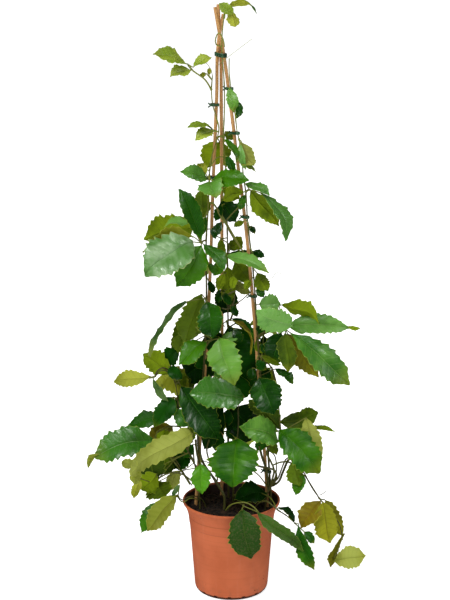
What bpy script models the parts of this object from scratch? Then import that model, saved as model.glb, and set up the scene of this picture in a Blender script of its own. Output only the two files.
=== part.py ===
"""Potted chestnut vine: a nursery pot of soil with three bamboo canes, plastic ties and leafy climbing stems.

Metres, +Z up, the origin at the middle of the pot's base, the front towards -Y.
"""
import math

import bmesh
import bpy
from mathutils import Quaternion, Vector

# Driving dimensions of the pot and soil, in metres.
POT_HEIGHT = 0.195
RIM_RADIUS = 0.100
NECK_RADIUS = 0.0885
NECK_HEIGHT = 0.165
STEP_RADIUS = 0.0855
STEP_HEIGHT = 0.146
STEP_DEPTH = 0.0009
HEEL_RADIUS = 0.0755
HEEL_HEIGHT = 0.010
FOOT_RADIUS = 0.066
POT_WALL = 0.0018
LIP_HEIGHT = 0.005
LIP_ROUND = 0.0014
FLARE_HOLLOW = 0.0012
HEEL_ROUND = 0.0025
HEEL_BEND = 0.35
LIP_BOW = 0.3
POT_SIDES = 32
NOTCHES = 16
NOTCH_RADIUS = 0.0042
NOTCH_RING = 0.0705
NOTCH_HEIGHT = 0.006
NOTCH_TURN = math.radians(-3)
SOIL_LEVEL = 0.175
SOIL_LUMP = 0.0030
SOIL_RINGS = 3
CLEARANCE = 0.0003
HOLE_REACH = 0.008

# Canes and ties, in metres.
CANE_RADIUS = 0.0035
CANE_NODE = 0.0005
CANE_STEP = 0.09
TIE_GAP = 0.0005
TIE_THICKNESS = 0.0012
TIE_SIDES = 6

# Leaves, in metres; teeth are counted on one side of a blade.
BLADE_THICKNESS = 0.0008
RUFFLE = 0.035
FOLD = 16.0
CURL = 0.14
PETIOLE_RADIUS = 0.0013
STEM_STEP = 0.05
STALK_STEP = 0.03
STALK_ARCH = 0.12
JOINT_RADIUS = 0.0025
NECK_WIDTH = 0.0013
REAL_EDGE = math.radians(40)
TOOTH = 0.08
TOOTH_LEAN = 0.25
BLADE_TAPER = 0.75
RUFFLES = 1.6
RUFFLE_START = 0.37
OTHER_SIDE = 0.25
LONG_BLADE = 0.135
SHORT_BLADE = 0.056
NECK_TILT = 0.2
LINE_SHARES = 8

# The places below are written as on a drawing seen from EYE: millimetres across and up on the
# upright plane through the pot's axis, and millimetres of depth behind that plane.
MM = 0.001
EYE = Vector((0.0, -2.9, 1.343))

# Each cane's middle line, from the foot in the soil to the tip.
CANES = {
    "cane_left": [(-75, 118, 14), (-73, 180, 15), (-65, 300, 17), (-51, 505, 20), (-42, 680, 24),
                  (-38, 800, 26), (-34, 900, 28), (-29, 1020, 30), (-28, 1085, 31), (-24, 1132, 32),
                  (-16, 1173, 33)],
    "cane_right": [(76, 121, 7), (74, 180, 8), (67, 300, 10), (48, 538, 14), (36, 681, 16),
                   (22, 810, 19), (10, 900, 20), (1, 975, 21), (-15, 1095, 23), (-24, 1140, 24),
                   (-32, 1186, 24)],
    "cane_back": [(-20, 138, 72), (-19, 400, 65), (-19, 700, 56), (-20, 950, 47), (-21, 1100, 41),
                  (-24, 1140, 40), (-26, 1191, 39)],
}

# Each leafy stem: the radius at its foot and tip, and its middle line.
STEMS = {
    "vine_left": (0.0030, 0.0011, [
        (-15, 145, -12), (-15, 166, -12), (-14, 197, -10), (-25, 220, -6), (-38, 242, 0),
        (-52, 262, 6), (-62, 284, 7), (-68, 320, 7), (-66, 360, 8), (-62, 400, 8), (-58, 440, 9),
        (-54, 500, 10), (-51, 560, 12), (-50, 620, 13), (-50, 680, 15), (-50, 735, 16),
        (-47, 780, 17), (-45, 830, 18), (-43, 870, 18), (-38, 905, 19), (-30, 930, 19),
        (-25, 955, 21), (-30, 978, 21), (-37, 1003, 21), (-39, 1030, 20), (-37, 1057, 18)]),
    "vine_right": (0.0026, 0.0010, [
        (81, 148, 2), (81, 175, 2), (80, 215, 2), (77, 260, 2), (74, 300, 3), (69, 350, 3),
        (63, 410, 3), (57, 470, 4), (52, 537, 5), (49, 580, 6), (46, 630, 8), (42, 680, 8),
        (37, 722, 9), (31, 775, 10), (28, 825, 10), (22, 870, 11), (19, 909, 11), (14, 935, 12),
        (10, 952, 12), (6, 985, 13), (-1, 1029, 14), (-5, 1060, 15), (-5, 1090, 14)]),
    "vine_back": (0.0024, 0.0010, [
        (-6, 172, 58), (-6, 220, 56), (-7, 300, 52), (-5, 380, 48), (-4, 460, 44), (-6, 540, 40),
        (-8, 620, 38), (-8, 700, 36), (-9, 780, 34), (-10, 850, 32), (-14, 900, 30),
        (-16, 935, 29), (-14, 1000, 25), (-15, 1050, 19), (-19, 1100, 14), (-18, 1139, 12),
        (-14, 1174, 10)]),
    "shoot_left": (0.0022, 0.0011, [
        (-64, 152, -8), (-65, 182, -8), (-68, 230, -7), (-76, 272, -8), (-92, 306, -10),
        (-104, 350, -8), (-108, 400, -6), (-113, 440, -3), (-126, 464, 0), (-142, 468, -2),
        (-152, 457, -4)]),
    "shoot_right": (0.0020, 0.0012, [
        (70, 150, -14), (70, 182, -14), (74, 206, -14), (82, 226, -16), (94, 237, -18),
        (100, 252, -22), (107, 272, -26), (115, 283, -28), (132, 272, -32), (150, 248, -36),
        (161, 226, -38), (180, 196, -40), (205, 164, -42), (222, 140, -44), (229, 112, -44)]),
    "shoot_front": (0.0015, 0.0012, [
        (-8, 146, -12), (-8, 166, -14), (0, 179, -34), (12, 185, -58), (25, 180, -82)]),
    "shoot_side": (0.0015, 0.0012, [
        (44, 146, -34), (46, 168, -36), (56, 184, -50), (72, 189, -66), (88, 176, -78),
        (105, 163, -80), (120, 152, -82), (131, 141, -82)]),
    "sprig_left": (0.0015, 0.0012, [
        (-50, 150, 2), (-52, 174, 0), (-60, 192, -8), (-76, 200, -22), (-92, 196, -32),
        (-101, 191, -36), (-108, 197, -38)]),
    "shoot_centre": (0.0022, 0.0012, [
        (4, 160, 26), (4, 200, 26), (6, 260, 20), (10, 310, 12), (14, 350, 8), (14, 390, 4),
        (20, 416, -2)]),
}


def leaflet(foot, tip, width, turn, arch, tint, fold=FOLD, twist=0.0, swell=0.5, blunt=1.0):
    """One leaflet: where it starts and ends on the drawing, its width in millimetres, how far its
    upper face is turned from the viewer in degrees, its arch as a part of its length, its tint,
    its fold and twist in degrees, where along it it is widest, and how blunt its ends are."""
    return {"foot": foot, "tip": tip, "width": width, "turn": turn, "arch": arch, "tint": tint,
            "fold": fold, "twist": twist, "swell": swell, "blunt": blunt}


# The compound leaves of each stem: where the stalk leaves the stem, the points that the stalk
# passes, of which the last is the joint of its leaflets, and the leaflets themselves.
LEAVES = {
    "vine_back": [
        ((-16, 1165), [(-13, 1178, 6)], [
            leaflet((-8, 1186, 4), (48, 1177, -20), 30, -112, 0.20, "tan"),
            leaflet((3, 1173, -2), (-24, 1193, -8), 22, 10, 0.05, "fresh"),
            leaflet((-1, 1179, 2), (7, 1149, -14), 25, 158, 0.10, "tan"),
        ]),
        ((-16, 940), [(-28, 938, 40)], [
            leaflet((-30, 932, 54), (-48, 878, 58), 46, 172, 0.06, "olive"),
            leaflet((-24, 931, 62), (-10, 881, 70), 34, 165, 0.06, "olive"),
        ]),
        ((-16, 928), [], [
            leaflet((-13, 934, -6), (11, 891, -28), 28, -62, 0.10, "mid"),
            leaflet((-12, 951, 32), (5, 934, 34), 18, 150, 0.10, "olive"),
        ]),
        ((-9, 812), [(-20, 818, 28)], [
            leaflet((-21, 815, 26), (8, 773, 16), 42, 8, 0.08, "deep"),
            leaflet((-16, 842, 34), (14, 818, 40), 32, 160, 0.08, "olive"),
        ]),
        ((-8, 700), [(-10, 708, 30)], [
            leaflet((-10, 708, 8), (72, 674, -36), 36, -38, 0.10, "pale"),
            leaflet((6, 692, 24), (38, 650, 20), 38, 170, 0.08, "olive"),
            leaflet((-9, 684, 26), (0, 614, 16), 32, 162, 0.06, "olive"),
            leaflet((-8, 708, 38), (58, 704, 36), 26, 10, 0.06, "deep"),
            leaflet((-6, 716, 40), (20, 742, 44), 28, 165, 0.06, "olive"),
        ]),
        ((-8, 655), [], [
            leaflet((2, 653, 46), (38, 628, 46), 24, 160, 0.06, "pinkolive"),
            leaflet((-7, 645, 44), (-16, 585, 52), 46, 0, 0.06, "deep"),
        ]),
        ((-6, 560), [(-10, 571, 20)], [
            leaflet((-10, 572, 10), (44, 506, -30), 34, -52, 0.26, "rust", twist=-70.0),
            leaflet((0, 577, 16), (43, 548, 6), 20, -20, 0.06, "deep"),
            leaflet((-8, 558, 30), (34, 448, 30), 88, 4, 0.03, "deep", fold=4.0),
            leaflet((-30, 556, 52), (-40, 478, 54), 58, 6, 0.03, "deep", fold=6.0),
        ]),
        ((-4, 470), [(-6, 478, 30)], [
            leaflet((-26, 498, 42), (-98, 452, 58), 76, 10, 0.06, "deep"),
            leaflet((12, 476, 42), (46, 420, 46), 66, -6, 0.03, "deep", fold=6.0),
            leaflet((2, 466, 15), (-8, 392, 13), 78, 0, 0.03, "deep", fold=6.0),
        ]),
        ((-5, 380), [(-8, 388, 30)], [
            leaflet((-14, 392, 34), (-76, 336, 44), 84, 8, 0.06, "deep"),
            leaflet((-2, 392, 36), (52, 324, 44), 84, -8, 0.06, "deep"),
        ]),
        ((-4, 470), [(-8, 488, 110)], [
            leaflet((-12, 490, 114), (-78, 466, 165), 62, 60, 0.12, "mid"),
            leaflet((-8, 490, 118), (-16, 432, 192), 64, 0, -0.14, "mid"),
            leaflet((-4, 490, 114), (52, 462, 168), 62, -60, 0.12, "fresh"),
        ]),
        ((-5, 360), [(24, 360, 104)], [
            leaflet((28, 360, 108), (92, 340, 158), 58, -60, 0.12, "mid"),
            leaflet((24, 360, 112), (34, 304, 180), 60, 0, -0.14, "fresh"),
            leaflet((20, 360, 108), (-30, 338, 166), 56, 60, 0.12, "mid"),
        ]),
        ((-6, 560), [(30, 562, 96)], [
            leaflet((34, 562, 100), (96, 540, 148), 56, -60, 0.12, "fresh"),
            leaflet((30, 560, 104), (40, 500, 160), 56, 0, -0.14, "mid"),
        ]),
        ((-8, 690), [(-58, 706, 92)], [
            leaflet((-62, 706, 96), (-122, 700, 140), 54, 60, 0.12, "mid"),
            leaflet((-60, 704, 100), (-72, 652, 156), 56, 0, -0.14, "fresh"),
        ]),
    ],
    "vine_left": [
        ((-39, 1030), [(-52, 1050, 8), (-74, 1066, 0), (-83, 1077, -4)], [
            leaflet((-84, 1078, -5), (-150, 1097, -34), 34, 60, 0.06, "fresh"),
            leaflet((-78, 1067, -3), (-118, 1056, -24), 30, 40, 0.06, "fresh"),
            leaflet((-74, 1073, -2), (-39, 1093, 10), 28, -45, 0.06, "fresh"),
        ]),
        ((-26, 950), [], [
            leaflet((-36, 953, 12), (-85, 959, -16), 24, 62, 0.12, "fresh"),
            leaflet((-36, 950, 10), (-70, 935, -14), 28, 32, 0.08, "fresh"),
        ]),
        ((-43, 866), [(-43, 856, 6)], [
            leaflet((-48, 856, 4), (-98, 873, -22), 34, 30, 0.10, "mid"),
            leaflet((-38, 854, 0), (32, 857, -26), 40, -28, 0.08, "bright"),
            leaflet((-43, 852, 0), (-33, 822, -48), 50, 0, 0.08, "pale"),
            leaflet((-50, 866, 14), (-66, 889, 8), 22, 160, 0.05, "tan"),
        ]),
        ((-47, 790), [(-54, 776, 20)], [
            leaflet((-58, 778, 32), (-59, 838, 36), 32, 170, 0.05, "deepolive"),
        ]),
        ((-50, 735), [(-60, 730, 0)], [
            leaflet((-62, 736, -6), (-103, 835, -30), 48, 26, 0.08, "mid", swell=0.60),
            leaflet((-72, 764, 40), (-173, 738, 38), 68, 160, 0.06, "deepolive"),
            leaflet((-74, 742, -2), (-177, 716, -24), 50, 130, 0.12, "olive"),
            leaflet((-76, 732, -10), (-170, 668, -66), 80, 22, 0.10, "gloss"),
            leaflet((-60, 725, -10), (-108, 642, -46), 64, 8, 0.08, "mid"),
            leaflet((-56, 728, -4), (-12, 679, -26), 36, -42, 0.08, "mid"),
            leaflet((-82, 770, 12), (-134, 765, 6), 28, 56, 0.08, "pale"),
        ]),
        ((-50, 610), [(-52, 618, 2)], [
            leaflet((-92, 611, -24), (-168, 500, -52), 50, 72, 0.10, "teal"),
            leaflet((-60, 624, -6), (-112, 520, -16), 54, 168, 0.06, "olive"),
            leaflet((-82, 598, 26), (-132, 500, 24), 50, 164, 0.06, "deepolive"),
            leaflet((-49, 612, -8), (-38, 536, -34), 56, 4, 0.06, "satin"),
        ]),
        ((-54, 510), [(-40, 532, -10)], [
            leaflet((-50, 530, -12), (-106, 481, -52), 44, 24, 0.08, "mid"),
            leaflet((-24, 536, -16), (6, 439, -64), 68, -6, 0.08, "bright"),
            leaflet((-22, 534, -4), (14, 538, -10), 24, -36, 0.06, "teal"),
        ]),
        ((-64, 292), [], [
            leaflet((-62, 271, -10), (-60, 204, -30), 38, 4, 0.08, "vivid"),
        ]),
    ],
    "vine_right": [
        ((0, 1020), [], [
            leaflet((-4, 1035, 2), (4, 987, -12), 22, -12, 0.08, "bright"),
        ]),
        ((4, 1000), [], [
            leaflet((8, 1011, 6), (9, 975, -6), 26, -45, 0.08, "mid"),
        ]),
        ((14, 935), [(15, 932, 6)], [
            leaflet((15, 931, 4), (39, 878, -20), 36, 158, 0.16, "pinkolive"),
            leaflet((16, 892, 4), (48, 872, 2), 18, -66, 0.06, "fresh"),
        ]),
        ((28, 830), [(34, 836, 2)], [
            leaflet((27, 852, 0), (74, 835, -20), 28, -42, 0.10, "teal"),
            leaflet((34, 831, 4), (88, 757, -10), 42, 168, 0.08, "olive"),
            leaflet((56, 832, -4), (116, 738, -30), 48, -60, 0.20, "teal"),
            leaflet((24, 832, 0), (-20, 816, -14), 34, 140, 0.10, "olive"),
        ]),
        ((31, 775), [], [
            leaflet((24, 774, 5), (4, 763, -2), 14, 30, 0.05, "olive"),
        ]),
        ((37, 722), [], [
            leaflet((40, 712, 4), (65, 702, -6), 18, -30, 0.08, "deep"),
        ]),
        ((42, 680), [], [
            leaflet((50, 670, 2), (72, 633, -8), 32, 164, 0.06, "olive"),
        ]),
        ((48, 604), [], [
            leaflet((58, 612, 6), (96, 613, 8), 34, 16, 0.06, "mint"),
        ]),
        ((52, 537), [(75, 549, -4), (108, 554, -14)], [
            leaflet((121, 566, -20), (50, 590, -60), 56, -20, 0.06, "mint", blunt=1.3),
            leaflet((94, 604, 2), (182, 582, -16), 50, -118, 0.20, "olive"),
            leaflet((114, 561, 14), (236, 559, 2), 44, -12, 0.06, "pale", swell=0.42),
            leaflet((116, 548, -20), (238, 440, -78), 62, -10, 0.10, "bright", swell=0.62),
            leaflet((100, 548, 4), (80, 482, -2), 50, 14, 0.06, "satin"),
            leaflet((107, 547, -24), (113, 466, -34), 38, 165, 0.06, "olive"),
            leaflet((112, 545, -2), (173, 455, -8), 46, 168, 0.06, "khaki"),
            leaflet((100, 551, 2), (72, 566, 0), 16, 160, 0.06, "rust"),
        ]),
        ((54, 500), [(66, 488, 0), (80, 474, -4), (92, 420, -8), (99, 350, -8), (100, 338, -10)], [
            leaflet((98, 320, -14), (17, 354, -56), 50, 22, 0.06, "bright"),
            leaflet((100, 344, -8), (34, 408, -32), 46, 158, 0.08, "deepolive"),
            leaflet((104, 352, 5), (175, 376, -16), 40, 160, 0.10, "deepolive"),
            leaflet((96, 342, -18), (181, 251, -58), 68, -4, 0.10, "mid", blunt=1.2),
            leaflet((151, 369, -25), (181, 270, -35), 42, 166, 0.06, "lime"),
            leaflet((150, 350, 4), (210, 341, 0), 12, -30, 0.06, "olive"),
        ]),
        ((60, 455), [(58, 458, 6)], [
            leaflet((56, 454, -14), (85, 376, -44), 68, 4, 0.06, "satin"),
            leaflet((66, 476, 21), (78, 440, 22), 32, 166, 0.06, "olive"),
            leaflet((88, 472, 0), (125, 443, -14), 30, -48, 0.08, "mid"),
            leaflet((60, 502, -6), (99, 479, -16), 14, 150, 0.06, "olive"),
            leaflet((64, 543, 20), (68, 478, 20), 28, 0, 0.03, "deep", fold=6.0),
        ]),
    ],
    "shoot_left": [
        ((-152, 457), [(-154, 456, -5)], [
            leaflet((-157, 455, -6), (-238, 446, -34), 33, 158, 0.08, "tan", swell=0.68),
            leaflet((-158, 452, -8), (-142, 403, -26), 24, 60, 0.08, "teal"),
        ]),
        ((-124, 462), [(-124, 468, 2)], [
            leaflet((-130, 470, 2), (-177, 505, -2), 42, 164, 0.06, "olive"),
            leaflet((-138, 470, 6), (-86, 424, 2), 58, 168, 0.06, "tan"),
        ]),
        ((-113, 440), [(-106, 444, -6)], [
            leaflet((-126, 477, -12), (-100, 450, -24), 26, 0, 0.08, "deep"),
            leaflet((-100, 452, 26), (-78, 426, 26), 30, 166, 0.06, "olive"),
            leaflet((-102, 436, 0), (-26, 322, -30), 72, 0, 0.08, "satin"),
        ]),
        ((-109, 405), [(-118, 412, -6)], [
            leaflet((-118, 412, -8), (-158, 348, -28), 38, 14, 0.08, "deep", swell=0.36),
            leaflet((-150, 376, 14), (-216, 354, 12), 46, 24, 0.04, "satin", swell=0.30),
        ]),
        ((-107, 388), [], [
            leaflet((-114, 387, -14), (-86, 350, -24), 32, 4, 0.06, "fresh"),
        ]),
        ((-104, 350), [(-130, 350, 0), (-150, 338, -4)], [
            leaflet((-160, 333, 4), (-280, 306, -38), 64, 22, 0.08, "gloss", swell=0.56, blunt=1.3),
            leaflet((-120, 350, 14), (-168, 312, 22), 46, 168, 0.06, "rust"),
        ]),
        ((-90, 300), [(-80, 318, -22)], [
            leaflet((-84, 333, -30), (-213, 250, -98), 45, 156, 0.06, "lime", fold=20.0, blunt=2.4),
        ]),
        ((-76, 272), [(-78, 298, 2)], [
            leaflet((-80, 298, 12), (-116, 260, 12), 46, 22, 0.06, "deep"),
        ]),
        ((-68, 225), [(-80, 232, -8), (-98, 246, -10), (-122, 251, -14), (-146, 240, -18),
                      (-157, 227, -20)], [
            leaflet((-156, 232, -20), (-170, 284, -28), 60, 172, 0.06, "deepolive"),
            leaflet((-160, 234, -14), (-136, 197, -34), 56, 160, 0.08, "deepolive"),
            leaflet((-152, 248, -24), (-184, 212, -44), 50, 160, 0.06, "olive"),
            leaflet((-112, 250, -4), (-132, 208, 0), 26, 172, 0.06, "pinkolive"),
            leaflet((-110, 286, 10), (-162, 248, 6), 46, 160, 0.06, "olive"),
            leaflet((-188, 238, -54), (-201, 195, -66), 20, 164, 0.06, "tan"),
        ]),
    ],
    "shoot_right": [
        ((122, 279), [], [
            leaflet((124, 275, -38), (140, 222, -58), 38, 166, 0.06, "deepolive"),
        ]),
        ((150, 248), [], [
            leaflet((149, 245, -40), (131, 203, -54), 26, 14, 0.08, "mid"),
        ]),
        ((180, 196), [(181, 194, -41)], [
            leaflet((182, 193, -44), (131, 136, -62), 50, 20, 0.08, "yellow"),
            leaflet((187, 188, -56), (203, 97, -78), 52, 168, 0.06, "khaki"),
            leaflet((192, 192, -22), (238, 131, -14), 38, 160, 0.10, "khaki"),
        ]),
        ((229, 114), [(228, 104, -45)], [
            leaflet((227, 110, -46), (197, 44, -64), 30, 136, 0.06, "khaki", swell=0.72),
            leaflet((211, 54, -52), (276, 64, -80), 52, -10, 0.06, "lime", swell=0.60),
        ]),
    ],
    "shoot_front": [
        ((25, 180), [(25, 178, -88)], [
            leaflet((22, 172, -98), (42, 61, -114), 70, 4, 0.08, "speckled"),
            leaflet((52, 166, -92), (149, 78, -112), 30, -10, 0.06, "speckled"),
        ]),
    ],
    "shoot_side": [
        ((94, 172), [], [
            leaflet((98, 176, -78), (131, 146, -88), 34, -62, 0.08, "deep"),
        ]),
        ((131, 141), [(132, 139, -83)], [
            leaflet((132, 139, -84), (165, 36, -108), 35, 14, 0.06, "mid", swell=0.60),
            leaflet((150, 122, -84), (172, 96, -92), 19, -20, 0.06, "mid"),
        ]),
    ],
    "sprig_left": [
        ((-108, 197), [(-109, 199, -38)], [
            leaflet((-111, 203, -40), (-172, 127, -84), 46, 162, 0.06, "lime"),
            leaflet((-148, 190, -32), (-193, 120, -62), 38, 30, 0.06, "mid"),
            leaflet((-106, 222, -42), (-124, 200, -50), 14, 30, 0.06, "teal"),
        ]),
    ],
    "shoot_centre": [
        ((10, 312), [(8, 322, -24)], [
            leaflet((12, 324, -30), (3, 220, -80), 98, 4, 0.08, "mid", blunt=1.2),
        ]),
        ((20, 416), [(22, 418, -6)], [
            leaflet((26, 413, -8), (-84, 421, -54), 66, 20, 0.08, "gloss", blunt=1.2),
        ]),
        ((5, 200), [(30, 214, 14), (56, 210, 2)], [
            leaflet((74, 208, -2), (6, 195, -34), 48, 40, 0.06, "deep"),
        ]),
    ],
}

# Extra bare twigs that grow from a stem: the stem, the points and the radius in metres.
TWIGS = {
    "vine_back": [
        ((-19, 1112), [(-30, 1116, 8), (-31, 1127, 6), (-25, 1138, 4), (-17, 1127, 3),
                       (-14, 1111, 4)], 0.0012),
        ((-14, 900), [(-30, 898, 14), (-46, 872, 8)], 0.0010),
        ((-8, 700), [(-4, 724, 24), (-18, 737, 16), (-33, 746, 8)], 0.0011),
    ],
    "vine_left": [
        ((-47, 812), [(-33, 806, 8), (-25, 788, 0), (-12, 768, -2), (1, 744, 2), (16, 722, 7),
                      (27, 704, 9)], 0.0013),
        ((-60, 278), [(-46, 272, 2), (-34, 262, 0), (-32, 252, -4)], 0.0010),
    ],
    "vine_right": [
        ((74, 300), [(88, 288, -4), (92, 262, -10), (89, 240, -10), (80, 226, -4)], 0.0014),
    ],
    "shoot_left": [
        ((-76, 272), [(-98, 258, -2), (-112, 276, 2), (-124, 290, 4)], 0.0010),
    ],
}

# Each tie: how high it is on the drawing, half its own height in metres and what it goes around.
TIES = {
    "tie_top": (1098, 0.0040, ["cane_left", "cane_right", "cane_back", "vine_back"]),
    "tie_upper_left": (1002, 0.0027, ["cane_left", "vine_left"]),
    "tie_upper_right": (1033, 0.0027, ["cane_right", "vine_right"]),
    "tie_right_high": (948, 0.0027, ["cane_right", "vine_right"]),
    "tie_left_middle": (862, 0.0027, ["cane_left", "vine_left"]),
    "tie_right_middle": (784, 0.0027, ["cane_right", "vine_right"]),
    "tie_right_low": (626, 0.0027, ["cane_right", "vine_right"]),
    "tie_right_foot": (262, 0.0027, ["cane_right", "vine_right"]),
}

# Colours: red, green and blue, and roughness.
PAINTS = {
    "pot_plastic": ((0.62, 0.20, 0.09), 0.50),
    "soil": ((0.035, 0.022, 0.015), 0.95),
    "bamboo": ((0.55, 0.30, 0.12), 0.50),
    "tie_plastic": ((0.03, 0.10, 0.04), 0.40),
    "stem": ((0.10, 0.10, 0.02), 0.50),
    "fresh": ((0.22, 0.38, 0.05), 0.40),
    "bright": ((0.12, 0.32, 0.02), 0.35),
    "mid": ((0.07, 0.24, 0.02), 0.35),
    "deep": ((0.02, 0.10, 0.01), 0.35),
    "gloss": ((0.05, 0.20, 0.03), 0.28),
    "pale": ((0.14, 0.34, 0.10), 0.35),
    "teal": ((0.10, 0.24, 0.09), 0.35),
    "mint": ((0.14, 0.34, 0.12), 0.30),
    "satin": ((0.03, 0.16, 0.01), 0.30),
    "vivid": ((0.09, 0.34, 0.01), 0.35),
    "speckled": ((0.06, 0.16, 0.03), 0.45),
    "olive": ((0.20, 0.24, 0.02), 0.55),
    "deepolive": ((0.06, 0.11, 0.01), 0.50),
    "pinkolive": ((0.28, 0.27, 0.10), 0.55),
    "lime": ((0.42, 0.48, 0.13), 0.55),
    "khaki": ((0.28, 0.24, 0.03), 0.50),
    "yellow": ((0.42, 0.32, 0.03), 0.50),
    "rust": ((0.22, 0.15, 0.03), 0.55),
    "tan": ((0.36, 0.34, 0.12), 0.55),
}
OTHER_PAINTS = ("pot_plastic", "soil", "bamboo", "tie_plastic")
PLANT_PAINTS = [name for name in PAINTS if name not in OTHER_PAINTS]


def clear_scene():
    for old in list(bpy.data.objects):
        bpy.data.objects.remove(old, do_unlink=True)


def make_collection(name):
    made = bpy.data.collections.new(name)
    bpy.context.scene.collection.children.link(made)
    return made


def paint(name):
    """A material with the named colour and roughness."""
    if name in bpy.data.materials:
        return bpy.data.materials[name]
    colour, roughness = PAINTS[name]
    material = bpy.data.materials.new(name)
    material.use_nodes = True
    shader = material.node_tree.nodes["Principled BSDF"]
    shader.inputs["Base Color"].default_value = (*colour, 1.0)
    shader.inputs["Roughness"].default_value = roughness
    return material


def place(across, up, depth):
    """The point of the real object that shows at these millimetres on the drawing."""
    on_plane = Vector((across, 0.0, up)) * MM
    reach = (depth * MM - EYE.y) / -EYE.y
    return EYE + (on_plane - EYE) * reach


def smooth_line(points, spacing):
    """Points at about the spacing along a smooth curve that passes through the given points."""
    line = [points[0].copy()]
    for index in range(len(points) - 1):
        start = points[index]
        end = points[index + 1]
        before = points[max(index - 1, 0)]
        after = points[min(index + 2, len(points) - 1)]
        count = max(1, round((end - start).length / spacing))
        for step in range(1, count + 1):
            t = step / count
            line.append(0.5 * (2 * start + (end - before) * t
                               + (2 * before - 5 * start + 4 * end - after) * t ** 2
                               + (3 * start - before - 3 * end + after) * t ** 3))
    return line


def link(name, mesh, collection, paints):
    made = bpy.data.objects.new(name, mesh)
    collection.objects.link(made)
    for key in paints:
        mesh.materials.append(paint(key))
    return made


def tube(name, line, radii, resolution, collection, paints):
    """A round rod along the line as a closed mesh, one radius for each point."""
    data = bpy.data.curves.new(name, "CURVE")
    data.dimensions = "3D"
    data.bevel_depth = 1.0
    data.bevel_resolution = resolution
    data.use_fill_caps = True
    spline = data.splines.new("POLY")
    spline.points.add(len(line) - 1)
    for point, where, radius in zip(spline.points, line, radii):
        point.co = (*where, 1.0)
        point.radius = radius
    made = bpy.data.objects.new(name, data)
    collection.objects.link(made)
    return to_mesh(made, collection, paints)


def to_mesh(made, collection, paints):
    """Turns a curve object into a mesh object with its caps welded."""
    name = made.name
    bpy.context.view_layer.update()
    solid = bpy.data.meshes.new_from_object(made.evaluated_get(bpy.context.evaluated_depsgraph_get()))
    solid.materials.clear()
    welded = bmesh.new()
    welded.from_mesh(solid)
    bmesh.ops.remove_doubles(welded, verts=welded.verts, dist=1e-6)
    bmesh.ops.recalc_face_normals(welded, faces=welded.faces)
    welded.to_mesh(solid)
    welded.free()
    bpy.data.objects.remove(made, do_unlink=True)
    return link(name, solid, collection, paints)


def turned(name, profile, collection, paints):
    """A turned solid from a closed profile of radius and height pairs; it stays open at the axis."""
    mesh = bpy.data.meshes.new(name)
    loop = len(profile)
    edges = [(k, (k + 1) % loop) for k in range(loop)
             if profile[k][0] + profile[(k + 1) % loop][0] > 0.0]
    mesh.from_pydata([(radius, 0.0, height) for radius, height in profile], edges, [])
    made = link(name, mesh, collection, paints)
    screw = made.modifiers.new("Turn", "SCREW")
    screw.angle = math.tau
    screw.steps = POT_SIDES
    screw.render_steps = POT_SIDES
    screw.use_merge_vertices = True
    screw.merge_threshold = 1e-5
    return made


def apply_modifiers(made):
    """Replaces the object's mesh with its evaluated mesh."""
    bpy.context.view_layer.update()
    evaluated = made.evaluated_get(bpy.context.evaluated_depsgraph_get())
    made.data = bpy.data.meshes.new_from_object(evaluated)
    made.modifiers.clear()


def hide_cutter(made):
    made.hide_render = True
    made.display_type = "WIRE"


def inner_radius(height):
    """The radius of the pot's inner face at a height, for the soil that fills it."""
    heel_inside = HEEL_RADIUS - POT_WALL
    step_inside = STEP_RADIUS - POT_WALL
    neck_inside = NECK_RADIUS - POT_WALL
    if height < STEP_HEIGHT:
        share = (height - HEEL_HEIGHT) / (STEP_HEIGHT - HEEL_HEIGHT)
        return heel_inside + share * (step_inside - heel_inside)
    share = (height - STEP_HEIGHT) / (NECK_HEIGHT - STEP_HEIGHT)
    return step_inside + share * (neck_inside - step_inside)


def pot_profile():
    """The outer side from the lip down, the base, and the inner side back up."""
    middle = 0.5 * (RIM_RADIUS + NECK_RADIUS) - FLARE_HOLLOW
    flare = [(RIM_RADIUS - LIP_BOW * FLARE_HOLLOW, POT_HEIGHT - LIP_HEIGHT),
             (middle, 0.5 * (POT_HEIGHT + NECK_HEIGHT))]
    outer = [
        (RIM_RADIUS - LIP_ROUND, POT_HEIGHT), (RIM_RADIUS, POT_HEIGHT - LIP_ROUND), *flare,
        (NECK_RADIUS, NECK_HEIGHT), (STEP_RADIUS + STEP_DEPTH, STEP_HEIGHT),
        (STEP_RADIUS, STEP_HEIGHT - STEP_DEPTH), (HEEL_RADIUS, HEEL_HEIGHT),
        (HEEL_RADIUS - HEEL_ROUND, HEEL_BEND * HEEL_HEIGHT), (FOOT_RADIUS, 0.0), (0.0, 0.0),
    ]
    inner = [
        (0.0, POT_WALL), (FOOT_RADIUS - POT_WALL, POT_WALL),
        (inner_radius(HEEL_HEIGHT), HEEL_HEIGHT), (inner_radius(STEP_HEIGHT), STEP_HEIGHT),
        (NECK_RADIUS - POT_WALL, NECK_HEIGHT), (middle - POT_WALL, flare[1][1]),
        (RIM_RADIUS - LIP_ROUND - POT_WALL, POT_HEIGHT - LIP_ROUND),
    ]
    return outer + inner


def make_pot(parts, cutters):
    """The pot, with drainage notches cut through the corner of its base."""
    pot = turned("pot", pot_profile(), parts, ["pot_plastic"])
    apply_modifiers(pot)
    for number in range(NOTCHES):
        angle = math.tau * number / NOTCHES + NOTCH_TURN
        bpy.ops.mesh.primitive_cylinder_add(
            vertices=6, radius=NOTCH_RADIUS, depth=2 * NOTCH_HEIGHT,
            location=(NOTCH_RING * math.cos(angle), NOTCH_RING * math.sin(angle), 0.0),
            rotation=(0.0, 0.0, angle))
        notch = bpy.context.object
        notch.name = f"notch_{number + 1}"
        move_to(notch, cutters)
        hide_cutter(notch)
        cut = pot.modifiers.new(notch.name, "BOOLEAN")
        cut.operation = "DIFFERENCE"
        cut.solver = "MANIFOLD"
        cut.object = notch
    return pot


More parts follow.
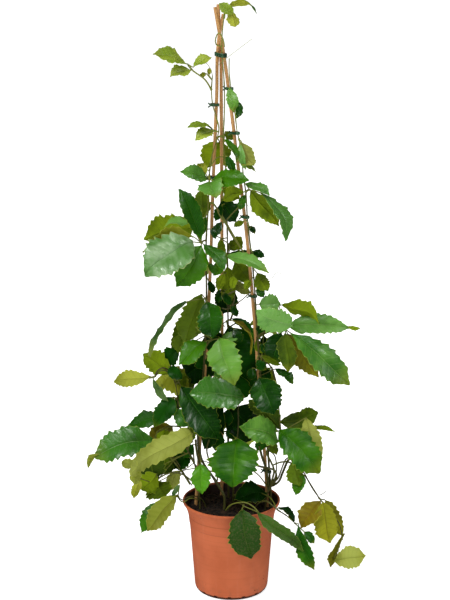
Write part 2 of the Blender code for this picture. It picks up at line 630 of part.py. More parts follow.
def move_to(made, collection):
    for old in list(made.users_collection):
        old.objects.unlink(made)
    collection.objects.link(made)


def lump(x, y):
    """The unevenness of the soil's top at a place."""
    return SOIL_LUMP * (0.45 * math.sin(150 * x + 1.3) * math.cos(170 * y)
                        + 0.35 * math.sin(310 * y - 120 * x) + 0.20 * math.cos(420 * x + 260 * y))


def make_soil(parts):
    """The filling: a turned block whose top is uneven."""
    top = [(inner_radius(SOIL_LEVEL) * ring / SOIL_RINGS, SOIL_LEVEL) for ring in range(SOIL_RINGS)]
    edge = inner_radius(SOIL_LEVEL) - CLEARANCE
    side = [(edge, SOIL_LEVEL - 0.0005), (inner_radius(STEP_HEIGHT) - CLEARANCE, STEP_HEIGHT),
            (inner_radius(HEEL_HEIGHT) - CLEARANCE, HEEL_HEIGHT),
            (FOOT_RADIUS - POT_WALL - CLEARANCE, POT_WALL + CLEARANCE), (0.0, POT_WALL + CLEARANCE)]
    soil = turned("soil", top + side, parts, ["soil"])
    apply_modifiers(soil)
    for vertex in soil.data.vertices:
        radius = math.hypot(vertex.co.x, vertex.co.y)
        if vertex.co.z > SOIL_LEVEL - 0.0001:
            vertex.co.z += lump(vertex.co.x, vertex.co.y) * min(1.0, 6 * (1 - radius / edge))
    return soil


def cut_hole(soil, line, radius, cutters):
    """A plain hole in the soil round a cane or stem."""
    last = next(number for number, point in enumerate(line) if point.z > SOIL_LEVEL + HOLE_REACH)
    heading = (line[0] - line[1]).normalized()
    path = [line[0] + heading * CLEARANCE] + line[1:last + 1]
    hole = tube("hole", path, [radius + CLEARANCE] * len(path), 2, cutters, [])
    hide_cutter(hole)
    cut = soil.modifiers.new("Hole", "BOOLEAN")
    cut.operation = "DIFFERENCE"
    cut.solver = "EXACT"
    cut.object = hole


def cane_line(name):
    return smooth_line([place(*point) for point in CANES[name]], CANE_STEP)


def make_cane(name, parts):
    """A bamboo cane, a little thicker at its joints."""
    line = cane_line(name)
    radii = [CANE_RADIUS + (CANE_NODE if number % 2 else 0.0) for number in range(len(line))]
    return tube(name, line, radii, 2, parts, ["bamboo"])


def stem_line(name):
    return smooth_line([place(*point) for point in STEMS[name][2]], STEM_STEP)


def stem_radii(name, count):
    foot, tip = STEMS[name][:2]
    return [foot + (tip - foot) * number / (count - 1) for number in range(count)]


def nearest(line, across, up):
    """The point of a line that shows closest to a place on the drawing."""
    shares = [share / LINE_SHARES for share in range(LINE_SHARES + 1)]
    points = [start.lerp(end, share) for start, end in zip(line, line[1:]) for share in shares]
    return min(points, key=lambda point: (point - place(across, up, point.y / MM)).length)


def blade_frame(shape):
    """A leaflet's foot, tip, and its side and upper directions."""
    foot = place(*shape["foot"])
    tip = place(*shape["tip"])
    along = (tip - foot).normalized()
    middle = (foot + tip) / 2
    to_eye = (EYE - middle).normalized()
    upper = (to_eye - along * to_eye.dot(along)).normalized()
    upper.rotate(Quaternion(along, math.radians(shape["turn"])))
    return foot, tip, along.cross(upper), upper


def half_width(shape, t):
    """Half the leaflet's width at a share of its length, without the teeth."""
    place_in_bell = t ** (math.log(0.5) / math.log(shape["swell"]))
    return 0.5 * shape["width"] * MM * math.sin(math.pi * place_in_bell) ** (BLADE_TAPER / shape["blunt"])


def blade_point(shape, t, across):
    """A point of the leaflet: t runs from foot to tip, across from -1 to 1 and past it on a tooth."""
    foot, tip, side, upper = blade_frame(shape)
    length = (tip - foot).length
    rise = 4 * shape["arch"] * t * (1 - t) * length
    turn = Quaternion((tip - foot).normalized(), math.radians(shape["twist"]) * t)
    side.rotate(turn)
    lifted = upper.copy()
    lifted.rotate(turn)
    reach = half_width(shape, t) * across
    fold = math.radians(shape["fold"])
    place_in_wave = RUFFLES * t + RUFFLE_START * shape["width"] + OTHER_SIDE * (across > 0)
    wave = RUFFLE * math.sin(math.tau * place_in_wave)
    height = abs(reach) * math.sin(fold) + abs(reach) * abs(across) * (wave - CURL)
    return foot + (tip - foot) * t + upper * rise + side * reach * math.cos(fold) + lifted * height


def tooth_count(shape):
    length = (place(*shape["tip"]) - place(*shape["foot"])).length
    if length > LONG_BLADE:
        return 4
    return 3 if length > SHORT_BLADE else 2


def neck_side(shape, joint):
    """The direction across a leaflet's own short stalk, which is flat like its blade."""
    foot, tip, side, upper = blade_frame(shape)
    across = (foot - joint).normalized().cross(upper)
    if across.dot(side) < 0:
        across.negate()
    return (across + NECK_TILT * side).normalized()


def make_blade(name, shape, joint, collection):
    """A thin toothed blade and its own short stalk from the joint, the same triangles on both faces."""
    teeth = tooth_count(shape)
    steps = 2 * teeth
    blade = bmesh.new()
    ribs = [blade.verts.new(blade_point(shape, 2 * k / steps, 0.0)) for k in range(teeth + 1)]
    across = neck_side(shape, joint) * NECK_WIDTH / 2
    ends = {hand: blade.verts.new(joint + across * hand) for hand in (-1, 1)}
    blade.faces.new((ends[-1], ends[1], ribs[0]))
    for hand in (-1, 1):
        margin = [blade.verts.new(ribs[0].co + across * hand)]
        for step in range(1, steps):
            is_point = step % 2
            t = (step + TOOTH_LEAN * is_point) / steps
            reach = 1.0 + (TOOTH if is_point else -TOOTH)
            margin.append(blade.verts.new(blade_point(shape, t, hand * reach)))
        margin.append(ribs[-1])
        blade.faces.new((ends[hand], margin[0], ribs[0])[::hand])
        for k in range(teeth):
            start, point, end = margin[2 * k:2 * k + 3]
            corners = [(ribs[k], start, point), (ribs[k], point, ribs[k + 1]), (ribs[k + 1], point, end)]
            for corner in corners:
                if len(set(corner)) == 3:
                    blade.faces.new(corner[::hand])
    bmesh.ops.recalc_face_normals(blade, faces=blade.faces)
    mesh = bpy.data.meshes.new(name)
    blade.to_mesh(mesh)
    blade.free()
    made = link(name, mesh, collection, PLANT_PAINTS)
    mesh.polygons.foreach_set("material_index", [PLANT_PAINTS.index(shape["tint"])] * len(mesh.polygons))
    solidify = made.modifiers.new("Thickness", "SOLIDIFY")
    solidify.thickness = BLADE_THICKNESS
    solidify.offset = 0.0
    apply_modifiers(made)
    return made


def stalk_line(start, points):
    """A leaf stalk from the stem to the joint of its leaflets, arching where only its end is given."""
    ends = [start] + [place(*point) for point in points]
    if len(ends) == 2:
        middle = (ends[0] + ends[1]) / 2
        middle.z += STALK_ARCH * (ends[1] - ends[0]).length
        ends.insert(1, middle)
    return smooth_line(ends, STALK_STEP)


def make_stalk(start, points, collection):
    """A leaf stalk with a swollen end, the joint of its leaflets; gives the joint's place."""
    line = stalk_line(start, points)
    joint = line[-1]
    end = joint + (joint - line[-2]).normalized() * JOINT_RADIUS
    radii = [PETIOLE_RADIUS] * (len(line) - 1) + [JOINT_RADIUS, PETIOLE_RADIUS]
    tube("stalk", line + [end], radii, 0, collection, PLANT_PAINTS)
    return joint


def make_leafy_stem(name, parts):
    """A stem with its leaf stalks, leaflets and twigs joined in one solid."""
    line = stem_line(name)
    stem = tube(name, line, stem_radii(name, len(line)), 0, parts, PLANT_PAINTS)
    pieces = make_collection(name + "_pieces")
    for start, points, shapes in LEAVES[name]:
        joint = nearest(line, *start)
        if points:
            joint = make_stalk(joint, points, pieces)
        for shape in shapes:
            make_blade("blade", shape, joint, pieces)
    for start, points, radius in TWIGS.get(name, []):
        twig = smooth_line([nearest(line, *start)] + [place(*point) for point in points], STALK_STEP)
        tube("twig", twig, [radius] * len(twig), 0, pieces, PLANT_PAINTS)
    union = stem.modifiers.new("Join", "BOOLEAN")
    union.operation = "UNION"
    union.operand_type = "COLLECTION"
    union.collection = pieces
    union.solver = "MANIFOLD"
    apply_modifiers(stem)
    for piece in list(pieces.objects):
        bpy.data.objects.remove(piece, do_unlink=True)
    bpy.data.collections.remove(pieces)
    return stem


def at_height(line, radii, height):
    """Where a line passes a height, and its radius there."""
    for start, end, radius in zip(line, line[1:], radii):
        if start.z <= height <= end.z:
            share = (height - start.z) / (end.z - start.z)
            return start.lerp(end, share), radius
    return line[-1], radii[-1]


def belt_reach(posts, angle):
    """How far a belt's inner side lies out from the pot's axis on the side that faces an angle."""
    facing = Vector((math.cos(angle), math.sin(angle), 0.0))
    return max(centre.dot(facing) + radius for centre, radius in posts) + TIE_GAP


def belt_corners(posts, height, half, number):
    """The four corners of a belt's section where two of its flat sides meet."""
    step = math.tau / TIE_SIDES
    angle = number * step
    along = Vector((math.cos(angle), math.sin(angle), 0.0))
    across = Vector((-math.sin(angle), math.cos(angle), 0.0))
    corners = []
    for out, rise in ((0.0, -1), (TIE_THICKNESS, -1), (TIE_THICKNESS, 1), (0.0, 1)):
        reach = belt_reach(posts, angle) + out
        slide = (belt_reach(posts, angle + step) + out - reach * math.cos(step)) / math.sin(step)
        corners.append(along * reach + across * slide + Vector((0.0, 0.0, height + rise * half)))
    return corners


def make_tie(name, parts):
    """A flat plastic band round canes and stems, like a belt round posts."""
    up, half, held = TIES[name]
    lines = {key: cane_line(key) if key in CANES else stem_line(key) for key in held}
    height = place(0, up, lines[held[0]][-1].y / MM).z
    posts = []
    for key, line in lines.items():
        radii = stem_radii(key, len(line)) if key in STEMS else [CANE_RADIUS + CANE_NODE] * len(line)
        for rise in (-half, half):
            posts.append(at_height(line, radii, height + rise))
    band = bmesh.new()
    rings = [[band.verts.new(corner) for corner in belt_corners(posts, height, half, number)]
             for number in range(TIE_SIDES)]
    for number, ring in enumerate(rings):
        after = rings[(number + 1) % TIE_SIDES]
        for k in range(4):
            band.faces.new((ring[k], ring[(k + 1) % 4], after[(k + 1) % 4], after[k]))
    bmesh.ops.recalc_face_normals(band, faces=band.faces)
    mesh = bpy.data.meshes.new(name)
    band.to_mesh(mesh)
    band.free()
    return link(name, mesh, parts, ["tie_plastic"])


def round_off(made):
    """Shades a round piece smooth but for its real edges."""
    made.data.shade_smooth()
    made.data.set_sharp_from_angle(angle=REAL_EDGE)


def main():
    clear_scene()
    parts = make_collection("potted_chestnut_vine")
    cutters = make_collection("cutters")
    make_pot(parts, cutters)
    soil = make_soil(parts)
    for name in CANES:
        round_off(make_cane(name, parts))
        cut_hole(soil, cane_line(name), CANE_RADIUS + CANE_NODE, cutters)
    for name in STEMS:
        make_leafy_stem(name, parts)
        cut_hole(soil, stem_line(name), STEMS[name][0], cutters)
    for name in TIES:
        make_tie(name, parts)


main()
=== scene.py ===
"""Looks of the potted chestnut vine: fine leaves, stems, canes, ties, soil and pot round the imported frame."""
import math
import random

import bmesh
import bpy
import numpy as np
from mathutils import Matrix, Quaternion, Vector, noise


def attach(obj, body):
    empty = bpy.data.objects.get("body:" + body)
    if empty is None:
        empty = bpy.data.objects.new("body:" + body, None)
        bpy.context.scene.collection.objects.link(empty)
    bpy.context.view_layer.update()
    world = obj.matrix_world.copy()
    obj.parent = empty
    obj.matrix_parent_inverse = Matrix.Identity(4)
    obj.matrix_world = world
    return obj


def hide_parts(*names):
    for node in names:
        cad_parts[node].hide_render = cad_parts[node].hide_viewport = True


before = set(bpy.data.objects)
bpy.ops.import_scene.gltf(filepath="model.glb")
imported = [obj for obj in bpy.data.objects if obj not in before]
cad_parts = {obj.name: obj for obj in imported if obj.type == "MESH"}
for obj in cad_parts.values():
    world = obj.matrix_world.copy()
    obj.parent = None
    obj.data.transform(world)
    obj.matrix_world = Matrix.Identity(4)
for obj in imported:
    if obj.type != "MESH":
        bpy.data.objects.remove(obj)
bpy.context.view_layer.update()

# The pot, in metres, with how round each corner of its section is, from the axis below to the axis above.
POT_HEIGHT = 0.195
RIM_RADIUS = 0.100
NECK_RADIUS = 0.0885
NECK_HEIGHT = 0.165
STEP_RADIUS = 0.0855
STEP_HEIGHT = 0.146
STEP_DEPTH = 0.0009
HEEL_RADIUS = 0.0755
HEEL_HEIGHT = 0.010
FOOT_RADIUS = 0.066
POT_WALL = 0.0018
LIP_HEIGHT = 0.005
LIP_ROUND = 0.0014
FLARE_HOLLOW = 0.0012
HEEL_ROUND = 0.0025
HEEL_BEND = 0.35
LIP_BOW = 0.3
CORNER_ROUNDS = (0.0, 0.002, 0.003, 0.004, 0.0004, 0.0004, 0.006, 0.008, 0.002, 0.0012, 0.0012, 0.0012,
                 0.008, 0.006, 0.001, 0.004, 0.002, 0.0)
POT_SIDES = 144
POT_SHARP = math.radians(35)
NOTCHES = 16
NOTCH_RADIUS = 0.0040
NOTCH_RING = 0.0732
NOTCH_HEIGHT = 0.0102
NOTCH_TURN = math.radians(-3)
NOTCH_SIDES = 20

# The soil and its crumbs, in metres, and specks of dirt on the pot: across, height and size.
SOIL_LEVEL = 0.175
SOIL_LUMP = 0.0030
SOIL_ROUGH = 0.0016
SOIL_RINGS = 56
SOIL_EDGE_HELD = 0.35
SOIL_EDGE_RISE = 6
CLEARANCE = 0.0003
CRUMBS = 1100
CRUMB_LEAST = 0.0007
CRUMB_SPREAD = 0.0020
CRUMB_DENT = 0.25
CRUMB_LIFT = 0.3
CRUMB_REACH = 0.985
POT_SPECKS = ((0.066, 0.035, 0.0009), (0.066, 0.042, 0.0007), (0.048, 0.018, 0.0014),
              (0.053, 0.011, 0.0009), (0.044, 0.025, 0.0007), (-0.052, 0.030, 0.0006))

# Canes and ties, in metres; a cane's rings are its joints, a ridge with a smaller one above it.
CANE_RADIUS = 0.0035
CANE_NODE = 0.0005
CANE_STEP = 0.0022
CANE_SIDES = 16
CANE_LENGTH = 1.25
CANE_SHARP = math.radians(50)
CANE_SLIM = 0.94
CANE_WOBBLE = 0.03
CANE_WOBBLES = 38
FIRST_JOINT = (0.03, 0.09)
JOINT_SPACING = (0.095, 0.150)
RIDGE = 0.0016
SECOND_RIDGE = 0.0022
SECOND_RIDGE_PLACE = 0.0050
SECOND_SHARE = 0.55
RING_SWELL = 0.15
MARK_PLACE = 0.0022
TIE_GAP = 0.0005
TIE_THICKNESS = 0.0012
TIE_SIDES = 48
TIE_SECTION = ((0.0, -0.7), (0.2, -1.0), (0.8, -1.0), (1.0, -0.6), (1.0, 0.6), (0.8, 1.0), (0.2, 1.0),
               (0.0, 0.7))
TIE_TILT = 0.12
KNOT_SIDE = (200, 235)
TAIL_HEADINGS = ((-0.6, -0.5, 0.6), (-0.8, -0.4, -0.5))
TAIL_LENGTH = (0.006, 0.009)
TAIL_RADIUS = 0.0014
TAIL_END_RADIUS = 0.0009
TAIL_STEP = 0.0012
TAIL_START = Vector((0.002, 0.002, 0.0))

# Blades: how the grid of each leaflet is laid out and shaped, with lengths in metres and the rest
# as parts of the leaflet's length or width. Teeth are counted on one side of a blade, for blades
# longer than each length.
COLUMNS = (0.0, 0.035, 0.09, 0.20, 0.36, 0.54, 0.72, 0.86, 0.95, 1.0)
ROWS_PER_TOOTH = 5
TEETH = ((0.100, 10), (0.070, 9), (0.040, 7), (0.0, 5))
TOOTH_PROFILE = (0.0, 0.35, 0.70, 1.0, 0.45)
TOOTH_DEPTH = 0.085
TOOTH_LEAN = 0.35
TOOTH_SIZES = (0.35, 1.5)
VEIN_PLACE = 0.6
VEIN_LEAN = 0.13
BLADE_THICKNESS = 0.0005
LEAST_HALF_WIDTH = 0.0004
FULLNESS = 1.05
SLOW_LOBE = 0.075
SLOW_LOBE_WAVES = 7.0
QUICK_LOBE = 0.040
QUICK_LOBE_WAVES = 17.0
FOLD = 16.0
FOLD_SHARES = (1.0, 1.7)
CURL = 0.14
CURL_SHARES = (0.5, 2.2)
TIP_DROOP = 0.05
DROOP_SHARES = (0.3, 1.6)
RUFFLE = 0.035
RUFFLES = 1.6
RUFFLE_START = 0.37
OTHER_SIDE = 0.25
BEND = 0.070
BEND_WAVES = 5.5
BEND_TURN = 2.2
SMALL_BEND = 0.5
SMALL_BEND_WAVES = 9.0
MARGIN_WAVE = 0.060
QUILT = 0.0045
QUILT_END = 0.97
RIB_GROOVE = 0.010
RIB_GROOVE_WIDTH = 0.06
RIB_HEIGHT = 0.0005
RIB_WIDTH = 0.05
SWAY = 0.022

# Stems and stalks, in metres, and how green and how varied each is, from 0 to 1.
STEM_STEP = 0.006
STEM_SIDES = 10
STEM_SLIM = 0.92
NODE_SPACING = 0.075
NODE_REACH = 0.006
NODE_SWELL = 0.30
STALK_SIDES = 8
STALK_RADIUS = 0.001625
STALK_ARCH = 0.12
JOINT_SWELL = 0.55
STALKLET_RADIUS = 0.0012
STALKLET_STEP = 0.003
STALKLET_INSIDE = 0.004
STALKLET_RISE = 0.0006
STALKLET_SINK = 0.0002
THIN_SIDES = 6
STEM_LOOK = (0.25, 0.5)
STALK_LOOK = (0.6, 0.5)
STALKLET_LOOK = (0.9, 0.5)
TWIG_LOOK = (0.35, 0.5)

# The places below are written as on a drawing seen from EYE: millimetres across and up on the
# upright plane through the pot's axis, and millimetres of depth behind that plane.
MM = 0.001
EYE = Vector((0.0, -2.9, 1.343))

# Each cane's middle line, from the foot in the soil to the tip.
CANES = {
    "cane_left": [(-75, 118, 14), (-73, 180, 15), (-65, 300, 17), (-51, 505, 20), (-42, 680, 24),
                  (-38, 800, 26), (-34, 900, 28), (-29, 1020, 30), (-28, 1085, 31), (-24, 1132, 32),
                  (-16, 1173, 33)],
    "cane_right": [(76, 121, 7), (74, 180, 8), (67, 300, 10), (48, 538, 14), (36, 681, 16),
                   (22, 810, 19), (10, 900, 20), (1, 975, 21), (-15, 1095, 23), (-24, 1140, 24),
                   (-32, 1186, 24)],
    "cane_back": [(-20, 138, 72), (-19, 400, 65), (-19, 700, 56), (-20, 950, 47), (-21, 1100, 41),
                  (-24, 1140, 40), (-26, 1191, 39)],
}

# Each leafy stem: the radius at its foot and tip, and its middle line.
STEMS = {
    "vine_left": (0.0030, 0.0011, [
        (-15, 145, -12), (-15, 166, -12), (-14, 197, -10), (-25, 220, -6), (-38, 242, 0),
        (-52, 262, 6), (-62, 284, 7), (-68, 320, 7), (-66, 360, 8), (-62, 400, 8), (-58, 440, 9),
        (-54, 500, 10), (-51, 560, 12), (-50, 620, 13), (-50, 680, 15), (-50, 735, 16),
        (-47, 780, 17), (-45, 830, 18), (-43, 870, 18), (-38, 905, 19), (-30, 930, 19),
        (-25, 955, 21), (-30, 978, 21), (-37, 1003, 21), (-39, 1030, 20), (-37, 1057, 18)]),
    "vine_right": (0.0026, 0.0010, [
        (81, 148, 2), (81, 175, 2), (80, 215, 2), (77, 260, 2), (74, 300, 3), (69, 350, 3),
        (63, 410, 3), (57, 470, 4), (52, 537, 5), (49, 580, 6), (46, 630, 8), (42, 680, 8),
        (37, 722, 9), (31, 775, 10), (28, 825, 10), (22, 870, 11), (19, 909, 11), (14, 935, 12),
        (10, 952, 12), (6, 985, 13), (-1, 1029, 14), (-5, 1060, 15), (-5, 1090, 14)]),
    "vine_back": (0.0024, 0.0010, [
        (-6, 172, 58), (-6, 220, 56), (-7, 300, 52), (-5, 380, 48), (-4, 460, 44), (-6, 540, 40),
        (-8, 620, 38), (-8, 700, 36), (-9, 780, 34), (-10, 850, 32), (-14, 900, 30),
        (-16, 935, 29), (-14, 1000, 25), (-15, 1050, 19), (-19, 1100, 14), (-18, 1139, 12),
        (-14, 1174, 10)]),
    "shoot_left": (0.0022, 0.0011, [
        (-64, 152, -8), (-65, 182, -8), (-68, 230, -7), (-76, 272, -8), (-92, 306, -10),
        (-104, 350, -8), (-108, 400, -6), (-113, 440, -3), (-126, 464, 0), (-142, 468, -2),
        (-152, 457, -4)]),
    "shoot_right": (0.0020, 0.0012, [
        (70, 150, -14), (70, 182, -14), (74, 206, -14), (82, 226, -16), (94, 237, -18),
        (100, 252, -22), (107, 272, -26), (115, 283, -28), (132, 272, -32), (150, 248, -36),
        (161, 226, -38), (180, 196, -40), (205, 164, -42), (222, 140, -44), (229, 112, -44)]),
    "shoot_front": (0.0015, 0.0012, [
        (-8, 146, -12), (-8, 166, -14), (0, 179, -34), (12, 185, -58), (25, 180, -82)]),
    "shoot_side": (0.0015, 0.0012, [
        (44, 146, -34), (46, 168, -36), (56, 184, -50), (72, 189, -66), (88, 176, -78),
        (105, 163, -80), (120, 152, -82), (131, 141, -82)]),
    "sprig_left": (0.0015, 0.0012, [
        (-50, 150, 2), (-52, 174, 0), (-60, 192, -8), (-76, 200, -22), (-92, 196, -32),
        (-101, 191, -36), (-108, 197, -38)]),
    "shoot_centre": (0.0022, 0.0012, [
        (4, 160, 26), (4, 200, 26), (6, 260, 20), (10, 310, 12), (14, 350, 8), (14, 390, 4),
        (20, 416, -2)]),
}

